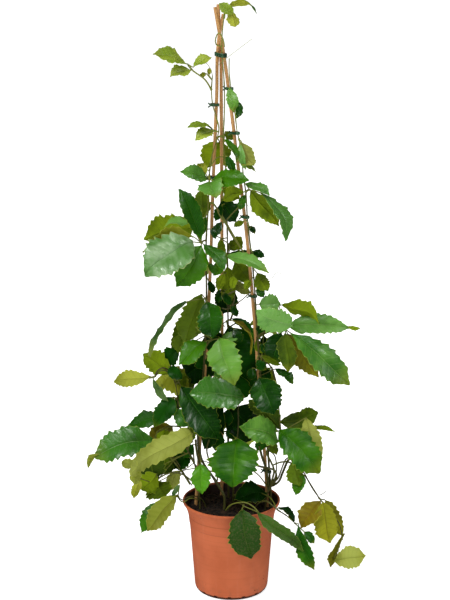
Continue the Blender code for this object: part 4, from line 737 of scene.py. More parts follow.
# The studio: the camera's angles, its focal length and the picture's height, middle and pot axis in
# pixels, then the floor, the surround and the lights.
FOCAL = 1507.0
IMAGE_HEIGHT = 600.0
IMAGE_MIDDLE = 225
AXIS_ACROSS = 231.8
SENSOR_WIDTH = 36.0
EYE_PITCH = math.radians(14.1)
EYE_TURN = math.atan((IMAGE_MIDDLE - AXIS_ACROSS) / FOCAL)
FLOOR_REACH = 8.0
FLOOR_GLOW = 0.55
FLOOR_SEEN = 0.85
WORLD_LIGHT = 0.18
WORLD_SHEEN = 0.06
WORLD_SEEN = 1.15
OVERHEAD_SPREAD = math.radians(50)
OVERHEAD_POWER = 1.5
OVERHEAD_HEADING = Vector((0.25, 0.45, -1.0))
LIGHT_TARGET = Vector((0.0, 0.0, 0.6))
SOFT_BOXES = (
    ("key", (-1.9, -1.9, 2.6), 1.35, 34.0, "diffuse"),
    ("fill", (2.4, -1.6, 1.0), 1.6, 7.0, "diffuse"),
    ("shine", (-0.6, -2.2, 2.8), 0.8, 60.0, "glossy"),
    ("side_shine", (2.2, -1.0, 2.5), 1.0, 40.0, "glossy"),
    ("back", (0.8, 2.8, 1.7), 1.6, 12.0, "diffuse"),
)


class Gathering:
    """Vertices, faces and texture places of many parts, gathered for one mesh."""

    def __init__(self):
        self.points = []
        self.faces = []
        self.slots = []
        self.maps = {"leaf": [], "vein": [], "vary": []}
        self.count = 0

    def add(self, points, faces, slots, **maps):
        self.points.append(np.asarray(points, float))
        self.faces += [tuple(corner + self.count for corner in face) for face in faces]
        self.slots += slots
        for name, values in self.maps.items():
            values.append(np.asarray(maps[name], float))
        self.count += len(points)

    def to_object(self, name, materials):
        mesh = bpy.data.meshes.new(name)
        mesh.from_pydata(np.concatenate(self.points).tolist(), [], self.faces)
        for material in materials:
            mesh.materials.append(material)
        mesh.polygons.foreach_set("material_index", self.slots)
        corners = np.empty(len(mesh.loops), int)
        mesh.loops.foreach_get("vertex_index", corners)
        for key, values in self.maps.items():
            layer = mesh.uv_layers.new(name=key)
            layer.data.foreach_set("uv", np.concatenate(values)[corners].ravel())
        mesh.shade_smooth()
        mesh.validate()
        return add_object(name, mesh)


def add_object(name, data):
    made = bpy.data.objects.new(name, data)
    bpy.context.scene.collection.objects.link(made)
    return made


def add_mesh(name, mesh):
    """An object made from a bmesh, which is freed."""
    data = bpy.data.meshes.new(name)
    mesh.to_mesh(data)
    mesh.free()
    return add_object(name, data)


def settle(piece, node, material=None):
    """Lets a piece ride with the pot's body in place of a solid, with its finish."""
    if material:
        piece.data.materials.append(material)
    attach(piece, "root")
    if node:
        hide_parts(node)


def place(across, up, depth):
    """The point of the real object that shows at these millimetres on the drawing."""
    on_plane = Vector((across, 0.0, up)) * MM
    reach = (depth * MM - EYE.y) / -EYE.y
    return EYE + (on_plane - EYE) * reach


def smooth_line(points, spacing):
    """Points at about the spacing along a smooth curve that passes through the given points."""
    line = [points[0].copy()]
    for index in range(len(points) - 1):
        start = points[index]
        end = points[index + 1]
        before = points[max(index - 1, 0)]
        after = points[min(index + 2, len(points) - 1)]
        count = max(1, round((end - start).length / spacing))
        for step in range(1, count + 1):
            t = step / count
            line.append(0.5 * (2 * start + (end - before) * t
                               + (2 * before - 5 * start + 4 * end - after) * t ** 2
                               + (3 * start - before - 3 * end + after) * t ** 3))
    return line


def drawn_line(points, spacing=STEM_STEP):
    """A smooth line through places on the drawing."""
    return smooth_line([place(*point) for point in points], spacing)


def nearest(line, across, up):
    """The point of a line that shows closest to a place on the drawing."""
    return min(line, key=lambda point: (point - place(across, up, point.y / MM)).length)


def leaflet(tint, foot, tip, width, turn, arch=0.06, more=()):
    """A leaflet's values by name, from its row in a table."""
    shape = {"fold": FOLD, "twist": 0.0, "swell": 0.5, "blunt": 1.0}
    shape.update(more, tint=tint, foot=foot, tip=tip, width=width, turn=turn, arch=arch)
    return shape


def blade_frame(shape):
    """A leaflet's foot, tip, and its side and upper directions."""
    foot = place(*shape["foot"])
    tip = place(*shape["tip"])
    along = (tip - foot).normalized()
    to_eye = (EYE - (foot + tip) / 2).normalized()
    upper = (to_eye - along * to_eye.dot(along)).normalized()
    upper.rotate(Quaternion(along, math.radians(shape["turn"])))
    return foot, tip, along.cross(upper), upper


def smooth_share(value, low, high):
    """How far each value has gone from low to high, eased at both ends."""
    share = np.clip((value - low) / (high - low), 0.0, 1.0)
    return share * share * (3 - 2 * share)


def half_widths(shape, t):
    """Half the leaflet's width at shares of its length, with a narrow foot and a drawn-out tip."""
    power = (0.66 + 0.30 * smooth_share(0.22 - t, 0.0, 0.22)) / shape["blunt"]
    place_in_bell = np.clip(t, 0.0, 1.0) ** (math.log(0.5) / math.log(shape["swell"]))
    body = np.sin(np.pi * place_in_bell) ** power
    body *= 1.0 - 0.45 / shape["blunt"] * smooth_share(t, 0.84, 0.97)
    return np.maximum(FULLNESS * 0.5 * shape["width"] * MM * body, LEAST_HALF_WIDTH)


def uneven_sides(draw, t, hand):
    """How much wider or narrower each side of a blade is along it, as a part of its width."""
    slow, quick = draw.uniform(0.0, math.tau, (2, 2))
    lobes = (SLOW_LOBE * np.sin(SLOW_LOBE_WAVES * t + slow[hand])
             + QUICK_LOBE * np.sin(QUICK_LOBE_WAVES * t + quick[hand]))
    return lobes * smooth_share(t, 0.03, 0.20)


def blade_surface(shape, draw):
    """The leaflet's middle surface as a grid: its points and their places along and across."""
    foot, tip, side, upper = blade_frame(shape)
    span = np.array(tip - foot)
    length = (tip - foot).length
    width = shape["width"] * MM
    teeth = next(count for longer, count in TEETH if length > longer)
    number = np.arange(teeth * ROWS_PER_TOOTH + 1)
    row = (number / number[-1])[:, None]
    column = np.array([-share for share in COLUMNS[:0:-1]] + list(COLUMNS))[None, :]
    out = np.abs(column)
    hand = (column > 0).astype(int)
    sizes = draw.uniform(*TOOTH_SIZES, (teeth + 1, 2))[(number // ROWS_PER_TOOTH)[:, None], hand]
    point = np.array(TOOTH_PROFILE)[number % ROWS_PER_TOOTH][:, None]
    edge = out ** 10
    t = row + VEIN_LEAN * out * 4 * row * (1 - row) + edge * point * TOOTH_LEAN * sizes / number[-1]
    t = np.clip(t, 0.0, 1.0)
    tooth = edge * TOOTH_DEPTH * sizes * (2 * point - 0.9) * smooth_share(t, 0.02, 0.16)
    reach = half_widths(shape, t) * column * (1 + tooth + uneven_sides(draw, t, hand))
    ruffle = RUFFLE * np.sin(math.tau * (RUFFLES * t + RUFFLE_START * shape["width"] + OTHER_SIDE * hand))
    fold = math.radians(shape["fold"] * draw.uniform(*FOLD_SHARES))
    curl = draw.uniform(*CURL_SHARES, 2)[hand] * CURL
    height = np.abs(reach) * math.sin(fold) + np.abs(reach) * out * (ruffle - curl)
    height -= draw.uniform(*DROOP_SHARES) * TIP_DROOP * length * smooth_share(t, 0.55, 1.0) ** 2
    phase = draw.uniform(0.0, math.tau, 2)
    height += BEND * width * out ** 1.5 * np.sin(BEND_WAVES * t + phase[0] + BEND_TURN * hand)
    height += BEND * SMALL_BEND * width * np.sin(SMALL_BEND_WAVES * t + phase[1])
    ripple = np.sin(math.tau * (row * teeth * 0.5 + draw.uniform()) + 2.0 * hand)
    height += MARGIN_WAVE * np.abs(reach) * out ** 4 * ripple
    between = 0.5 - 0.5 * np.cos(math.tau * (row * teeth - VEIN_PLACE))
    pillow = np.sin(np.pi * np.clip(out / QUILT_END, 0.0, 1.0)) ** 0.6
    height += QUILT * width * between * pillow * smooth_share(t, 0.0, 0.15)
    height -= RIB_GROOVE * width * np.exp(-(out / RIB_GROOVE_WIDTH) ** 2)
    rise = 4 * shape["arch"] * t * (1 - t) * length
    sway = length * SWAY * (draw.normal() * np.sin(np.pi * t) + 0.5 * draw.normal() * np.sin(2 * np.pi * t))
    angle = math.radians(shape["twist"]) * t
    turned_side, turned_upper = turn_frame(np.array(side), np.array(upper), span / length, angle)
    points = (np.array(foot) + span * t[..., None] + np.array(upper) * rise[..., None]
              + turned_side * (reach * math.cos(fold) + sway)[..., None] + turned_upper * height[..., None])
    return points, row * teeth + 0 * out, column + 0 * row, t


def turn_frame(side, upper, axis, angle):
    """The side and upper directions turned about the axis by an angle at each grid point."""
    cosine = np.cos(angle)[..., None]
    sine = np.sin(angle)[..., None]
    turned_side = side * cosine + np.cross(axis, side) * sine
    turned_upper = upper * cosine + np.cross(axis, upper) * sine
    return turned_side, turned_upper


def sheet_faces(rows, columns):
    """The faces of a thin closed sheet over a grid: the upper ones, the lower ones and the rim."""
    offset = rows * columns
    upper = []
    for i in range(rows - 1):
        for j in range(columns - 1):
            a = i * columns + j
            upper.append((a, a + 1, a + 1 + columns, a + columns))
    lower = [tuple(corner + offset for corner in reversed(face)) for face in upper]
    rim = []
    for i in range(rows - 1):
        a = i * columns
        b = a + columns
        rim.append((a, b, b + offset, a + offset))
        a += columns - 1
        b += columns - 1
        rim.append((b, a, a + offset, b + offset))
    last = (rows - 1) * columns
    for j in range(columns - 1):
        rim.append((j + 1, j, j + offset, j + 1 + offset))
        rim.append((last + j, last + j + 1, last + j + 1 + offset, last + j + offset))
    return upper, lower, rim


def add_blade(bag, shape, draw, names):
    """A leaflet as a thin closed sheet: its upper face, its lower face with a raised rib, its rim."""
    points, vein, across, t = blade_surface(shape, draw)
    normals = np.cross(np.gradient(points, axis=1), np.gradient(points, axis=0))
    normals /= np.maximum(np.linalg.norm(normals, axis=2), 1e-12)[..., None]
    rib = RIB_HEIGHT * np.exp(-(across / RIB_WIDTH) ** 2) * (1 - t)
    top = points + normals * BLADE_THICKNESS / 2
    bottom = points - normals * (BLADE_THICKNESS / 2 + rib)[..., None]
    upper, lower, rim = sheet_faces(*across.shape)
    above, below = leaf_slots(shape, names)
    leaf = np.stack([0.5 + 0.5 * across, t], axis=2).reshape(-1, 2)
    veins = np.stack([np.abs(across), vein], axis=2).reshape(-1, 2)
    vary = np.tile(draw.uniform(0.0, 1.0, 2), (across.size, 1))
    bag.add(np.concatenate([top.reshape(-1, 3), bottom.reshape(-1, 3)]), upper + lower + rim,
            [above] * len(upper) + [below] * len(lower) + [above] * len(rim),
            leaf=np.tile(leaf, (2, 1)), vein=np.tile(veins, (2, 1)), vary=np.tile(vary, (2, 1)))


def add_tube(bag, line, radii, sides, vary):
    """A round rod along a line, closed at both ends, with one radius or one for each point."""
    if isinstance(radii, float):
        radii = [radii] * len(line)
    across = (line[1] - line[0]).orthogonal().normalized()
    points = []
    places = []
    travelled = 0.0
    for number, (middle, radius) in enumerate(zip(line, radii)):
        before = line[max(number - 1, 0)]
        after = line[min(number + 1, len(line) - 1)]
        heading = (after - before).normalized()
        across = (across - heading * across.dot(heading)).normalized()
        beside = heading.cross(across)
        travelled += (middle - before).length
        for turn in range(sides):
            angle = math.tau * turn / sides
            points.append(tuple(middle + (across * math.cos(angle) + beside * math.sin(angle)) * radius))
            places.append((turn / sides, travelled))
    faces = []
    for ring in range(len(line) - 1):
        for turn in range(sides):
            a = ring * sides + turn
            b = ring * sides + (turn + 1) % sides
            faces.append((a, b, b + sides, a + sides))
    faces.append(tuple(range(sides))[::-1])
    faces.append(tuple(range(len(points) - sides, len(points))))
    bag.add(points, faces, [0] * len(faces), leaf=places, vein=places, vary=[vary] * len(points))


def stem_radii(name, line):
    """The stem tapers to its tip and swells a little at its nodes."""
    foot, tip = STEMS[name][:2]
    radii = []
    for number in range(len(line)):
        share = number / (len(line) - 1)
        node = math.exp(-((number * STEM_STEP) % NODE_SPACING / NODE_REACH - 1.5) ** 2)
        radii.append((foot + (tip - foot) * share) * (STEM_SLIM + NODE_SWELL * node))
    return radii


def stalk_line(start, points):
    """A leaf stalk from the stem to the joint of its leaflets, arching where only its end is given."""
    ends = [start] + [place(*point) for point in points]
    if len(ends) == 2:
        middle = (ends[0] + ends[1]) / 2
        middle.z += STALK_ARCH * (ends[1] - ends[0]).length
        ends.insert(1, middle)
    return smooth_line(ends, STEM_STEP)


def stalk_radii(count):
    """Radii of a leaf stalk, which is thicker at both its ends."""
    nearness = [min(number, count - 1 - number) for number in range(count)]
    return [STALK_RADIUS * (1.0 + JOINT_SWELL * math.exp(-near ** 2)) for near in nearness]


def add_stalklet(bag, shape, joint):
    """A leaflet's own short stalk, from the joint of the leaf on to the foot of the blade."""
    foot, tip, side, upper = blade_frame(shape)
    inside = foot + (tip - foot).normalized() * STALKLET_INSIDE + upper * STALKLET_SINK
    bend = joint.lerp(foot, 0.5) + upper * STALKLET_RISE
    line = smooth_line([joint, bend, foot, inside], STALKLET_STEP)
    radii = [STALKLET_RADIUS] * (len(line) - 1) + [STALKLET_RADIUS * 0.5]
    add_tube(bag, line, radii, THIN_SIDES, STALKLET_LOOK)


def leaf_slots(shape, names):
    """The material numbers of a leaflet's upper and lower face."""
    tint = shape["tint"]
    face = LEAF_TINTS[tint][0]
    seen_below = abs(shape["turn"]) > 90
    if tint in BOTH_FACES:
        pair = (tint, tint)
    elif seen_below:
        pair = (OTHER_FACE[face] if face == "under" else tint, tint)
    else:
        pair = (tint, OTHER_FACE["top"])
    return names.index(f"{pair[0]}_top"), names.index(f"{pair[1]}_under")


def make_leafy_stem(name, leaf_materials, bark):
    """A stem's fine leaves as one piece and its stem, stalks and tendrils as another."""
    draw = np.random.default_rng(sum(ord(letter) for letter in name))
    names = sorted(leaf_materials)
    leaves = Gathering()
    stems = Gathering()
    line = drawn_line(STEMS[name][2])
    add_tube(stems, line, stem_radii(name, line), STEM_SIDES, STEM_LOOK)
    for start, points, rows in LEAVES[name]:
        joint = nearest(line, *start)
        if points:
            stalk = stalk_line(joint, points)
            add_tube(stems, stalk, stalk_radii(len(stalk)), STALK_SIDES, STALK_LOOK)
            joint = stalk[-1]
        for row in rows:
            shape = leaflet(*row)
            add_stalklet(stems, shape, joint)
            add_blade(leaves, shape, draw, names)
    for start, row in SMALL_LEAFLETS.get(name, []):
        shape = leaflet(*row)
        add_stalklet(stems, shape, nearest(line, *start))
        add_blade(leaves, shape, draw, names)
    for row in LEAF_TAILS.get(name, []):
        add_blade(leaves, leaflet(*row), draw, names)
    for start, points, radius in TWIGS.get(name, []):
        twig = smooth_line([nearest(line, *start)] + [place(*point) for point in points], STEM_STEP)
        add_tube(stems, twig, radius, STALK_SIDES, TWIG_LOOK)
    for points, radius, green in TENDRILS.get(name, []):
        add_tube(stems, drawn_line(points, STEM_STEP / 2), radius, THIN_SIDES, (green, 0.5))
    settle(leaves.to_object(name + "_leaves", [leaf_materials[key] for key in names]), name)
    settle(stems.to_object(name + "_stems", [bark]), name)


def add_node(tree, kind, inputs=(), **settings):
    """A shader node with its settings, and its inputs either linked or set."""
    made = tree.nodes.new("ShaderNode" + kind)
    for key, value in settings.items():
        setattr(made, key, value)
    for key, value in dict(inputs).items():
        if isinstance(value, bpy.types.NodeSocket):
            tree.links.new(value, made.inputs[key])
        else:
            made.inputs[key].default_value = value
    return made


def blank_material(name, roughness, specular):
    """A material with its node tree and shader."""
    material = bpy.data.materials.new(name)
    material.use_nodes = True
    shader = material.node_tree.nodes["Principled BSDF"]
    shader.inputs["Roughness"].default_value = roughness
    shader.inputs["Specular IOR Level"].default_value = specular
    return material, material.node_tree, shader


class Finish:
    """A material as it is made: its nodes, its colour so far, and the steps that all finishes share."""

    def __init__(self, name, roughness, specular):
        self.material, self.tree, self.shader = blank_material(name, roughness, specular)
        self.where = self.node("TexCoord").outputs["Object"]
        self.colour = None

    def node(self, kind, inputs=(), **settings):
        return add_node(self.tree, kind, inputs, **settings)

    def math(self, operation, *values):
        return self.node("Math", dict(enumerate(values)), operation=operation).outputs[0]

    def times(self, first, second):
        return self.math("MULTIPLY", first, second)

    def plus(self, first, second):
        return self.math("ADD", first, second)

    def away(self, first, second):
        return self.math("ABSOLUTE", self.math("SUBTRACT", first, second))

    def ramp(self, value, low, high, first=0.0, last=1.0):
        """A smooth step of a value, from first at low to last at high."""
        inputs = {"Value": value, "From Min": low, "From Max": high, "To Min": first, "To Max": last}
        return self.node("MapRange", inputs, interpolation_type="SMOOTHSTEP").outputs[0]

    def mix(self, share, first, second):
        """Two colours mixed by a share; a plain colour is given as three numbers."""
        pair = [value if isinstance(value, bpy.types.NodeSocket) else (*value, 1.0)
                for value in (first, second)]
        inputs = {0: share, 6: pair[0], 7: pair[1]}
        return self.node("Mix", inputs, data_type="RGBA", blend_type="MIX").outputs[2]

    def lay(self, colour, share, strength=None):
        """Lays a colour over the colour so far."""
        if strength is not None:
            share = self.times(share, strength)
        self.colour = self.mix(share, self.colour, colour)

    def noise(self, scale, detail=3.0, roughness=0.55, at=None):
        where = self.where if at is None else at
        inputs = {"Vector": where, "Scale": scale, "Detail": detail, "Roughness": roughness}
        return self.node("TexNoise", inputs).outputs[0]

    def cells(self, scale, **settings):
        return self.node("TexVoronoi", {"Vector": self.where, "Scale": scale}, **settings).outputs["Distance"]

    def stretched(self, *scale):
        return self.node("Mapping", {"Vector": self.where, "Scale": scale}).outputs[0]

    def joined(self, *values):
        return self.node("CombineXYZ", dict(enumerate(values))).outputs[0]

    def height(self):
        return self.node("SeparateXYZ", {0: self.where}).outputs[2]

    def map(self, name):
        """The two numbers that a texture map holds at a point."""
        split = self.node("SeparateXYZ", {0: self.node("UVMap", uv_map=name).outputs[0]})
        return split.outputs[0], split.outputs[1]

    def roughen(self, least, value, spread):
        rough = self.plus(least, self.times(value, spread))
        self.tree.links.new(rough, self.shader.inputs["Roughness"])

    def done(self, relief, strength, distance):
        """The material with its colour in place and a fine relief."""
        self.tree.links.new(self.colour, self.shader.inputs["Base Color"])
        bump = self.node("Bump", {"Strength": strength, "Distance": distance, "Height": relief})
        self.tree.links.new(bump.outputs[0], self.shader.inputs["Normal"])
        return self.material


def leaf_pattern(leaf):
    """Where a leaf's midrib, side veins, fine net and margin lie, each from 0 to 1."""
    across, along = leaf.map("vein")
    away = leaf.away(leaf.math("FRACT", leaf.plus(along, 0.5 - VEIN_PLACE)), 0.5)
    side = leaf.times(leaf.ramp(away, 0.015, 0.085, 1.0, 0.0), leaf.ramp(across, 0.80, 1.0, 1.0, 0.2))
    midrib = leaf.ramp(across, 0.012, 0.045, 1.0, 0.0)
    net = leaf.ramp(leaf.cells(420.0, feature="DISTANCE_TO_EDGE"), 0.0, 0.10, 1.0, 0.0)
    return midrib, side, net, leaf.ramp(across, 0.955, 0.99), away


def leaf_material(tint, seen_from):
    """Leaf skin in one tint: the glossy quilted upper face or the matt lower face with raised veins, with a
    painted highlight: the bulges between the side veins are a little lighter.
    """
    dark, light, vein, roughness, specular = LEAF_TINTS[tint][1:]
    leaf = Finish(f"leaf_{tint}_{seen_from}", roughness, specular)
    midrib, side, net, margin, away = leaf_pattern(leaf)
    drawn_shade, drawn_turning = leaf.map("vary")
    shade = leaf.times(leaf.math("SUBTRACT", drawn_shade, 0.5), 0.45)
    mottle = leaf.plus(leaf.noise(26.0), shade)
    leaf.colour = leaf.mix(leaf.ramp(mottle, 0.34, 0.66), dark, light)
    # Painted highlight: the bulges of the quilting between the side veins are laid a little lighter.
    leaf.lay(light, leaf.ramp(away, 0.10, 0.45), 0.10)
    along = leaf.map("leaf")[1]
    turning = leaf.times(leaf.ramp(along, 0.72, 1.0), leaf.ramp(drawn_turning, 0.60, 0.80))
    leaf.lay(TIP_YELLOW, turning, 0.45)
    veins = leaf.math("MAXIMUM", midrib, leaf.times(side, 0.55))
    leaf.lay(vein, veins, 0.50)
    leaf.lay(vein, net, 0.14)
    if tint in SPECKLED:
        leaf.lay(FLECK_GREY, leaf.ramp(leaf.noise(320.0), 0.48, 0.66), 0.30)
    rim = tuple(0.55 * value + 0.45 * other for value, other in zip(light, RIM_YELLOW))
    leaf.lay(rim, margin, 0.95)
    leaf.roughen(roughness - 0.06, leaf.noise(60.0), 0.14)
    sign = -1.0 if seen_from == "top" else 1.0
    relief = leaf.times(leaf.plus(veins, leaf.times(net, 0.35)), sign)
    if seen_from == "top":
        leaf.shader.inputs["Coat Weight"].default_value = 0.20 * specular
        leaf.shader.inputs["Coat Roughness"].default_value = 0.22
    return leaf.done(leaf.plus(relief, leaf.times(leaf.noise(900.0, 2.0), 0.25)), 0.5, 0.0006)


def stem_material():
    """Green young stalks that turn to brown bark on the old stems, with fine lengthwise lines."""
    stem = Finish("stem_bark", 0.5, 0.35)
    green = stem.map("vary")[0]
    turn, along = stem.map("leaf")
    patchy = stem.plus(green, stem.times(stem.math("SUBTRACT", stem.noise(45.0), 0.5), 0.7))
    youth = stem.plus(stem.times(patchy, 0.55), stem.ramp(stem.height(), 0.55, 1.0, 0.0, 0.6))
    stem.colour = stem.mix(stem.ramp(youth, 0.05, 1.0), STEM_OLD, STEM_YOUNG)
    lines = stem.noise(1.0, 4.0, at=stem.joined(stem.times(turn, 9.0), stem.times(along, 14.0)))
    stem.lay(STEM_LINES, stem.ramp(lines, 0.35, 0.75, 0.0, 0.3))
    return stem.done(lines, 0.5, 0.0004)


def pot_material():
    """Matt terracotta plastic: faint clouds and scuffs, fine grain, dust towards the base, painted shade in the
    creases at the step and neck, a painted shadow on the heel and in its notches, and a nearly black inner
    face.
    """
    pot = Finish("pot_terracotta", 0.5, 0.18)
    clouds = pot.noise(14.0, 4.0)
    pot.colour = pot.mix(pot.ramp(clouds, 0.3, 0.7), POT_DARK, POT_LIGHT)
    tall = pot.stretched(1.0, 1.0, 0.08)
    pot.lay(POT_STREAK, pot.ramp(pot.noise(60.0, at=tall), 0.52, 0.75, 0.0, 0.12))
    rings = pot.noise(240.0, 2.0, at=pot.stretched(0.02, 0.02, 1.0))
    pot.lay(POT_RING, pot.ramp(rings, 0.50, 0.66, 0.0, 0.09))
    height = pot.height()
    dust = pot.times(pot.ramp(height, 0.0, 0.05, 1.0, 0.0), pot.ramp(pot.noise(90.0), 0.5, 0.7))
    pot.lay(POT_DUST, dust, 0.35)
    # Painted shade: thin darker rings just below the step and the neck, where their edges shade the side.
    for level in (STEP_HEIGHT - 0.0006, NECK_HEIGHT - 0.001):
        pot.lay(POT_CREASE_SHADE, pot.ramp(pot.away(height, level), 0.0002, 0.0014, 0.40, 0.0))
    # Painted shadow: the heel and its notches are darkened from about 10 mm down, where the pot meets the
    # floor.
    pot.lay(POT_BASE_SHADOW, pot.ramp(height, 0.0074, 0.0098, 0.90, 0.0))
    rare = pot.ramp(pot.noise(11.0, 1.0), 0.60, 0.68)
    pot.lay(POT_SPECK, pot.times(pot.ramp(pot.cells(95.0), 0.10, 0.15, 1.0, 0.0), rare), 0.75)
    # The inner face above the soil is coloured nearly black.
    pot.lay(POT_INNER_DARK, inner_face(pot, height), 0.98)
    pot.roughen(0.38, clouds, 0.25)
    grain = pot.plus(pot.noise(1400.0, 2.0), pot.times(pot.noise(220.0, at=tall), 0.6))
    return pot.done(grain, 0.25, 0.0002)


def inner_face(pot, height):
    """How much a point lies on the pot's inner face, below the lip: the part that is coloured nearly black."""
    facing = pot.node("NewGeometry").outputs["Normal"]
    flat = pot.node("VectorMath", {0: pot.where, 1: (1.0, 1.0, 0.0)}, operation="MULTIPLY").outputs[0]
    turned_in = pot.node("VectorMath", {0: facing, 1: flat}, operation="DOT_PRODUCT").outputs["Value"]
    uneven = pot.plus(height, pot.times(pot.noise(40.0), 0.008))
    return pot.times(pot.ramp(turned_in, -0.005, -0.030),
                     pot.ramp(uneven, POT_HEIGHT + 0.004, POT_HEIGHT - 0.001))


def soil_material():
    """Dark moist potting soil with paler fibres and specks."""
    soil = Finish("potting_soil", 0.9, 0.25)
    soil.colour = soil.mix(soil.ramp(soil.noise(130.0, 5.0), 0.35, 0.70), *SOIL_SHADES)
    speck = soil.times(soil.ramp(soil.cells(260.0), 0.12, 0.22, 1.0, 0.0),
                       soil.ramp(soil.noise(70.0), 0.52, 0.62))
    soil.lay(SOIL_SPECK, speck, 0.6)
    return soil.done(soil.noise(700.0, 4.0), 0.9, 0.0010)


def bamboo_material():
    """Split-free bamboo: warm tan with lengthwise fibres, weathered patches and small dark flecks."""
    bamboo = Finish("bamboo_cane", 0.42, 0.45)
    fleck, number = bamboo.map("vary")
    turn, along = bamboo.map("leaf")
    drawn_out = bamboo.joined(bamboo.times(turn, 26.0), bamboo.times(along, 22.0), bamboo.times(number, 7.0))
    fibres = bamboo.noise(1.0, 5.0, 0.65, at=drawn_out)
    patches = bamboo.noise(17.0)
    bamboo.colour = bamboo.mix(bamboo.ramp(fibres, 0.30, 0.70), *BAMBOO_SHADES)
    bamboo.lay(BAMBOO_PALE, bamboo.ramp(patches, 0.50, 0.75, 0.0, 0.55))
    bamboo.lay(BAMBOO_WORN, bamboo.ramp(patches, 0.42, 0.28, 0.0, 0.50))
    bamboo.lay(BAMBOO_FLECK, fleck, 0.75)
    return bamboo.done(fibres, 0.35, 0.0004)


def tie_material():
    """Dark green soft plastic with worn paler patches."""
    tie = Finish("tie_green", 0.38, 0.5)
    tie.colour = tie.mix(tie.ramp(tie.noise(160.0), 0.35, 0.70), *TIE_SHADES)
    return tie.done(tie.noise(700.0), 0.4, 0.0003)


def rounded(corners, radii, steps=4):
    """The points of an outline with each corner rounded."""
    points = [corners[0]]
    for before, corner, after, radius in zip(corners, corners[1:], corners[2:], radii[1:]):
        ends = []
        for other in (before, after):
            span = math.dist(corner, other)
            share = min(radius, 0.45 * span) / span
            ends.append((corner[0] + (other[0] - corner[0]) * share,
                         corner[1] + (other[1] - corner[1]) * share))
        for step in range(steps + 1):
            t = step / steps
            first, last = ends
            points.append(tuple((1 - t) ** 2 * a + 2 * t * (1 - t) * b + t ** 2 * c
                                for a, b, c in zip(first, corner, last)))
    points.append(corners[-1])
    return points


def inner_radius(height):
    """The radius of the pot's inner face at a height, for the soil that fills it."""
    heel_inside = HEEL_RADIUS - POT_WALL
    step_inside = STEP_RADIUS - POT_WALL
    neck_inside = NECK_RADIUS - POT_WALL
    if height < STEP_HEIGHT:
        share = (height - HEEL_HEIGHT) / (STEP_HEIGHT - HEEL_HEIGHT)
        return heel_inside + share * (step_inside - heel_inside)
    share = (height - STEP_HEIGHT) / (NECK_HEIGHT - STEP_HEIGHT)
    return step_inside + share * (neck_inside - step_inside)


def pot_section():
    """The outer side from the base up to the lip and the inner side back down, corners rounded."""
    middle = 0.5 * (RIM_RADIUS + NECK_RADIUS) - FLARE_HOLLOW
    middle_height = 0.5 * (POT_HEIGHT + NECK_HEIGHT)
    lip_inside = RIM_RADIUS - LIP_ROUND - POT_WALL
    corners = [
        (0.0, 0.0), (FOOT_RADIUS, 0.0), (HEEL_RADIUS - HEEL_ROUND, HEEL_BEND * HEEL_HEIGHT),
        (HEEL_RADIUS, HEEL_HEIGHT), (STEP_RADIUS, STEP_HEIGHT - STEP_DEPTH),
        (STEP_RADIUS + STEP_DEPTH, STEP_HEIGHT), (NECK_RADIUS, NECK_HEIGHT),
        (middle, middle_height), (RIM_RADIUS - LIP_BOW * FLARE_HOLLOW, POT_HEIGHT - LIP_HEIGHT),
        (RIM_RADIUS, POT_HEIGHT - LIP_ROUND), (RIM_RADIUS - LIP_ROUND, POT_HEIGHT),
        (lip_inside, POT_HEIGHT - 0.3 * LIP_ROUND), (middle - POT_WALL, middle_height),
        (NECK_RADIUS - POT_WALL, NECK_HEIGHT), (inner_radius(STEP_HEIGHT), STEP_HEIGHT),
        (inner_radius(HEEL_HEIGHT), HEEL_HEIGHT), (FOOT_RADIUS - POT_WALL, POT_WALL),
        (0.0, POT_WALL),
    ]
    return rounded(corners, CORNER_ROUNDS)


def turned_mesh(name, section, sides):
    """A closed solid turned from a section that starts and ends on the axis."""
    mesh = bmesh.new()
    first = mesh.verts.new((0.0, 0.0, section[0][1]))
    last = mesh.verts.new((0.0, 0.0, section[-1][1]))
    rings = []
    for radius, height in section[1:-1]:
        rings.append([mesh.verts.new((radius * math.cos(math.tau * k / sides),
                                      radius * math.sin(math.tau * k / sides), height))
                      for k in range(sides)])
    for k in range(sides):
        after = (k + 1) % sides
        mesh.faces.new((first, rings[0][after], rings[0][k]))
        mesh.faces.new((last, rings[-1][k], rings[-1][after]))
        for lower, upper in zip(rings, rings[1:]):
            mesh.faces.new((lower[k], lower[after], upper[after], upper[k]))
    bmesh.ops.recalc_face_normals(mesh, faces=mesh.faces)
    return add_mesh(name, mesh)


def make_pot():
    """The thin plastic pot with rounded edges and its drainage notches."""
    pot = turned_mesh("pot_fine", pot_section(), POT_SIDES)
    cutter = bmesh.new()
    for number in range(NOTCHES):
        angle = math.tau * number / NOTCHES + NOTCH_TURN
        where = Matrix.Translation((NOTCH_RING * math.cos(angle), NOTCH_RING * math.sin(angle), 0.0))
        bmesh.ops.create_cone(cutter, cap_ends=True, segments=NOTCH_SIDES, radius1=NOTCH_RADIUS,
                              radius2=NOTCH_RADIUS, depth=2 * NOTCH_HEIGHT, matrix=where)
    notches = add_mesh("notches", cutter)
    cut = pot.modifiers.new("Notches", "BOOLEAN")
    cut.operation = "DIFFERENCE"
    cut.solver = "EXACT"
    cut.object = notches
    bpy.context.view_layer.update()
    evaluated = pot.evaluated_get(bpy.context.evaluated_depsgraph_get())
    pot.data = bpy.data.meshes.new_from_object(evaluated)
    pot.modifiers.clear()
    bpy.data.objects.remove(notches, do_unlink=True)
    pot.data.shade_smooth()
    pot.data.set_sharp_from_angle(angle=POT_SHARP)
    settle(pot, "pot", pot_material())


def soil_height(x, y):
    """The top of the soil at a place: low lumps with crumbs over them."""
    rough = noise.fractal(Vector((x, y, 0.0)) * 60, 0.9, 2.2, 5)
    lumps = SOIL_LUMP * (0.45 * math.sin(150 * x + 1.3) * math.cos(170 * y)
                         + 0.35 * math.sin(310 * y - 120 * x) + 0.20 * math.cos(420 * x + 260 * y))
    return SOIL_LEVEL + lumps + SOIL_ROUGH * rough


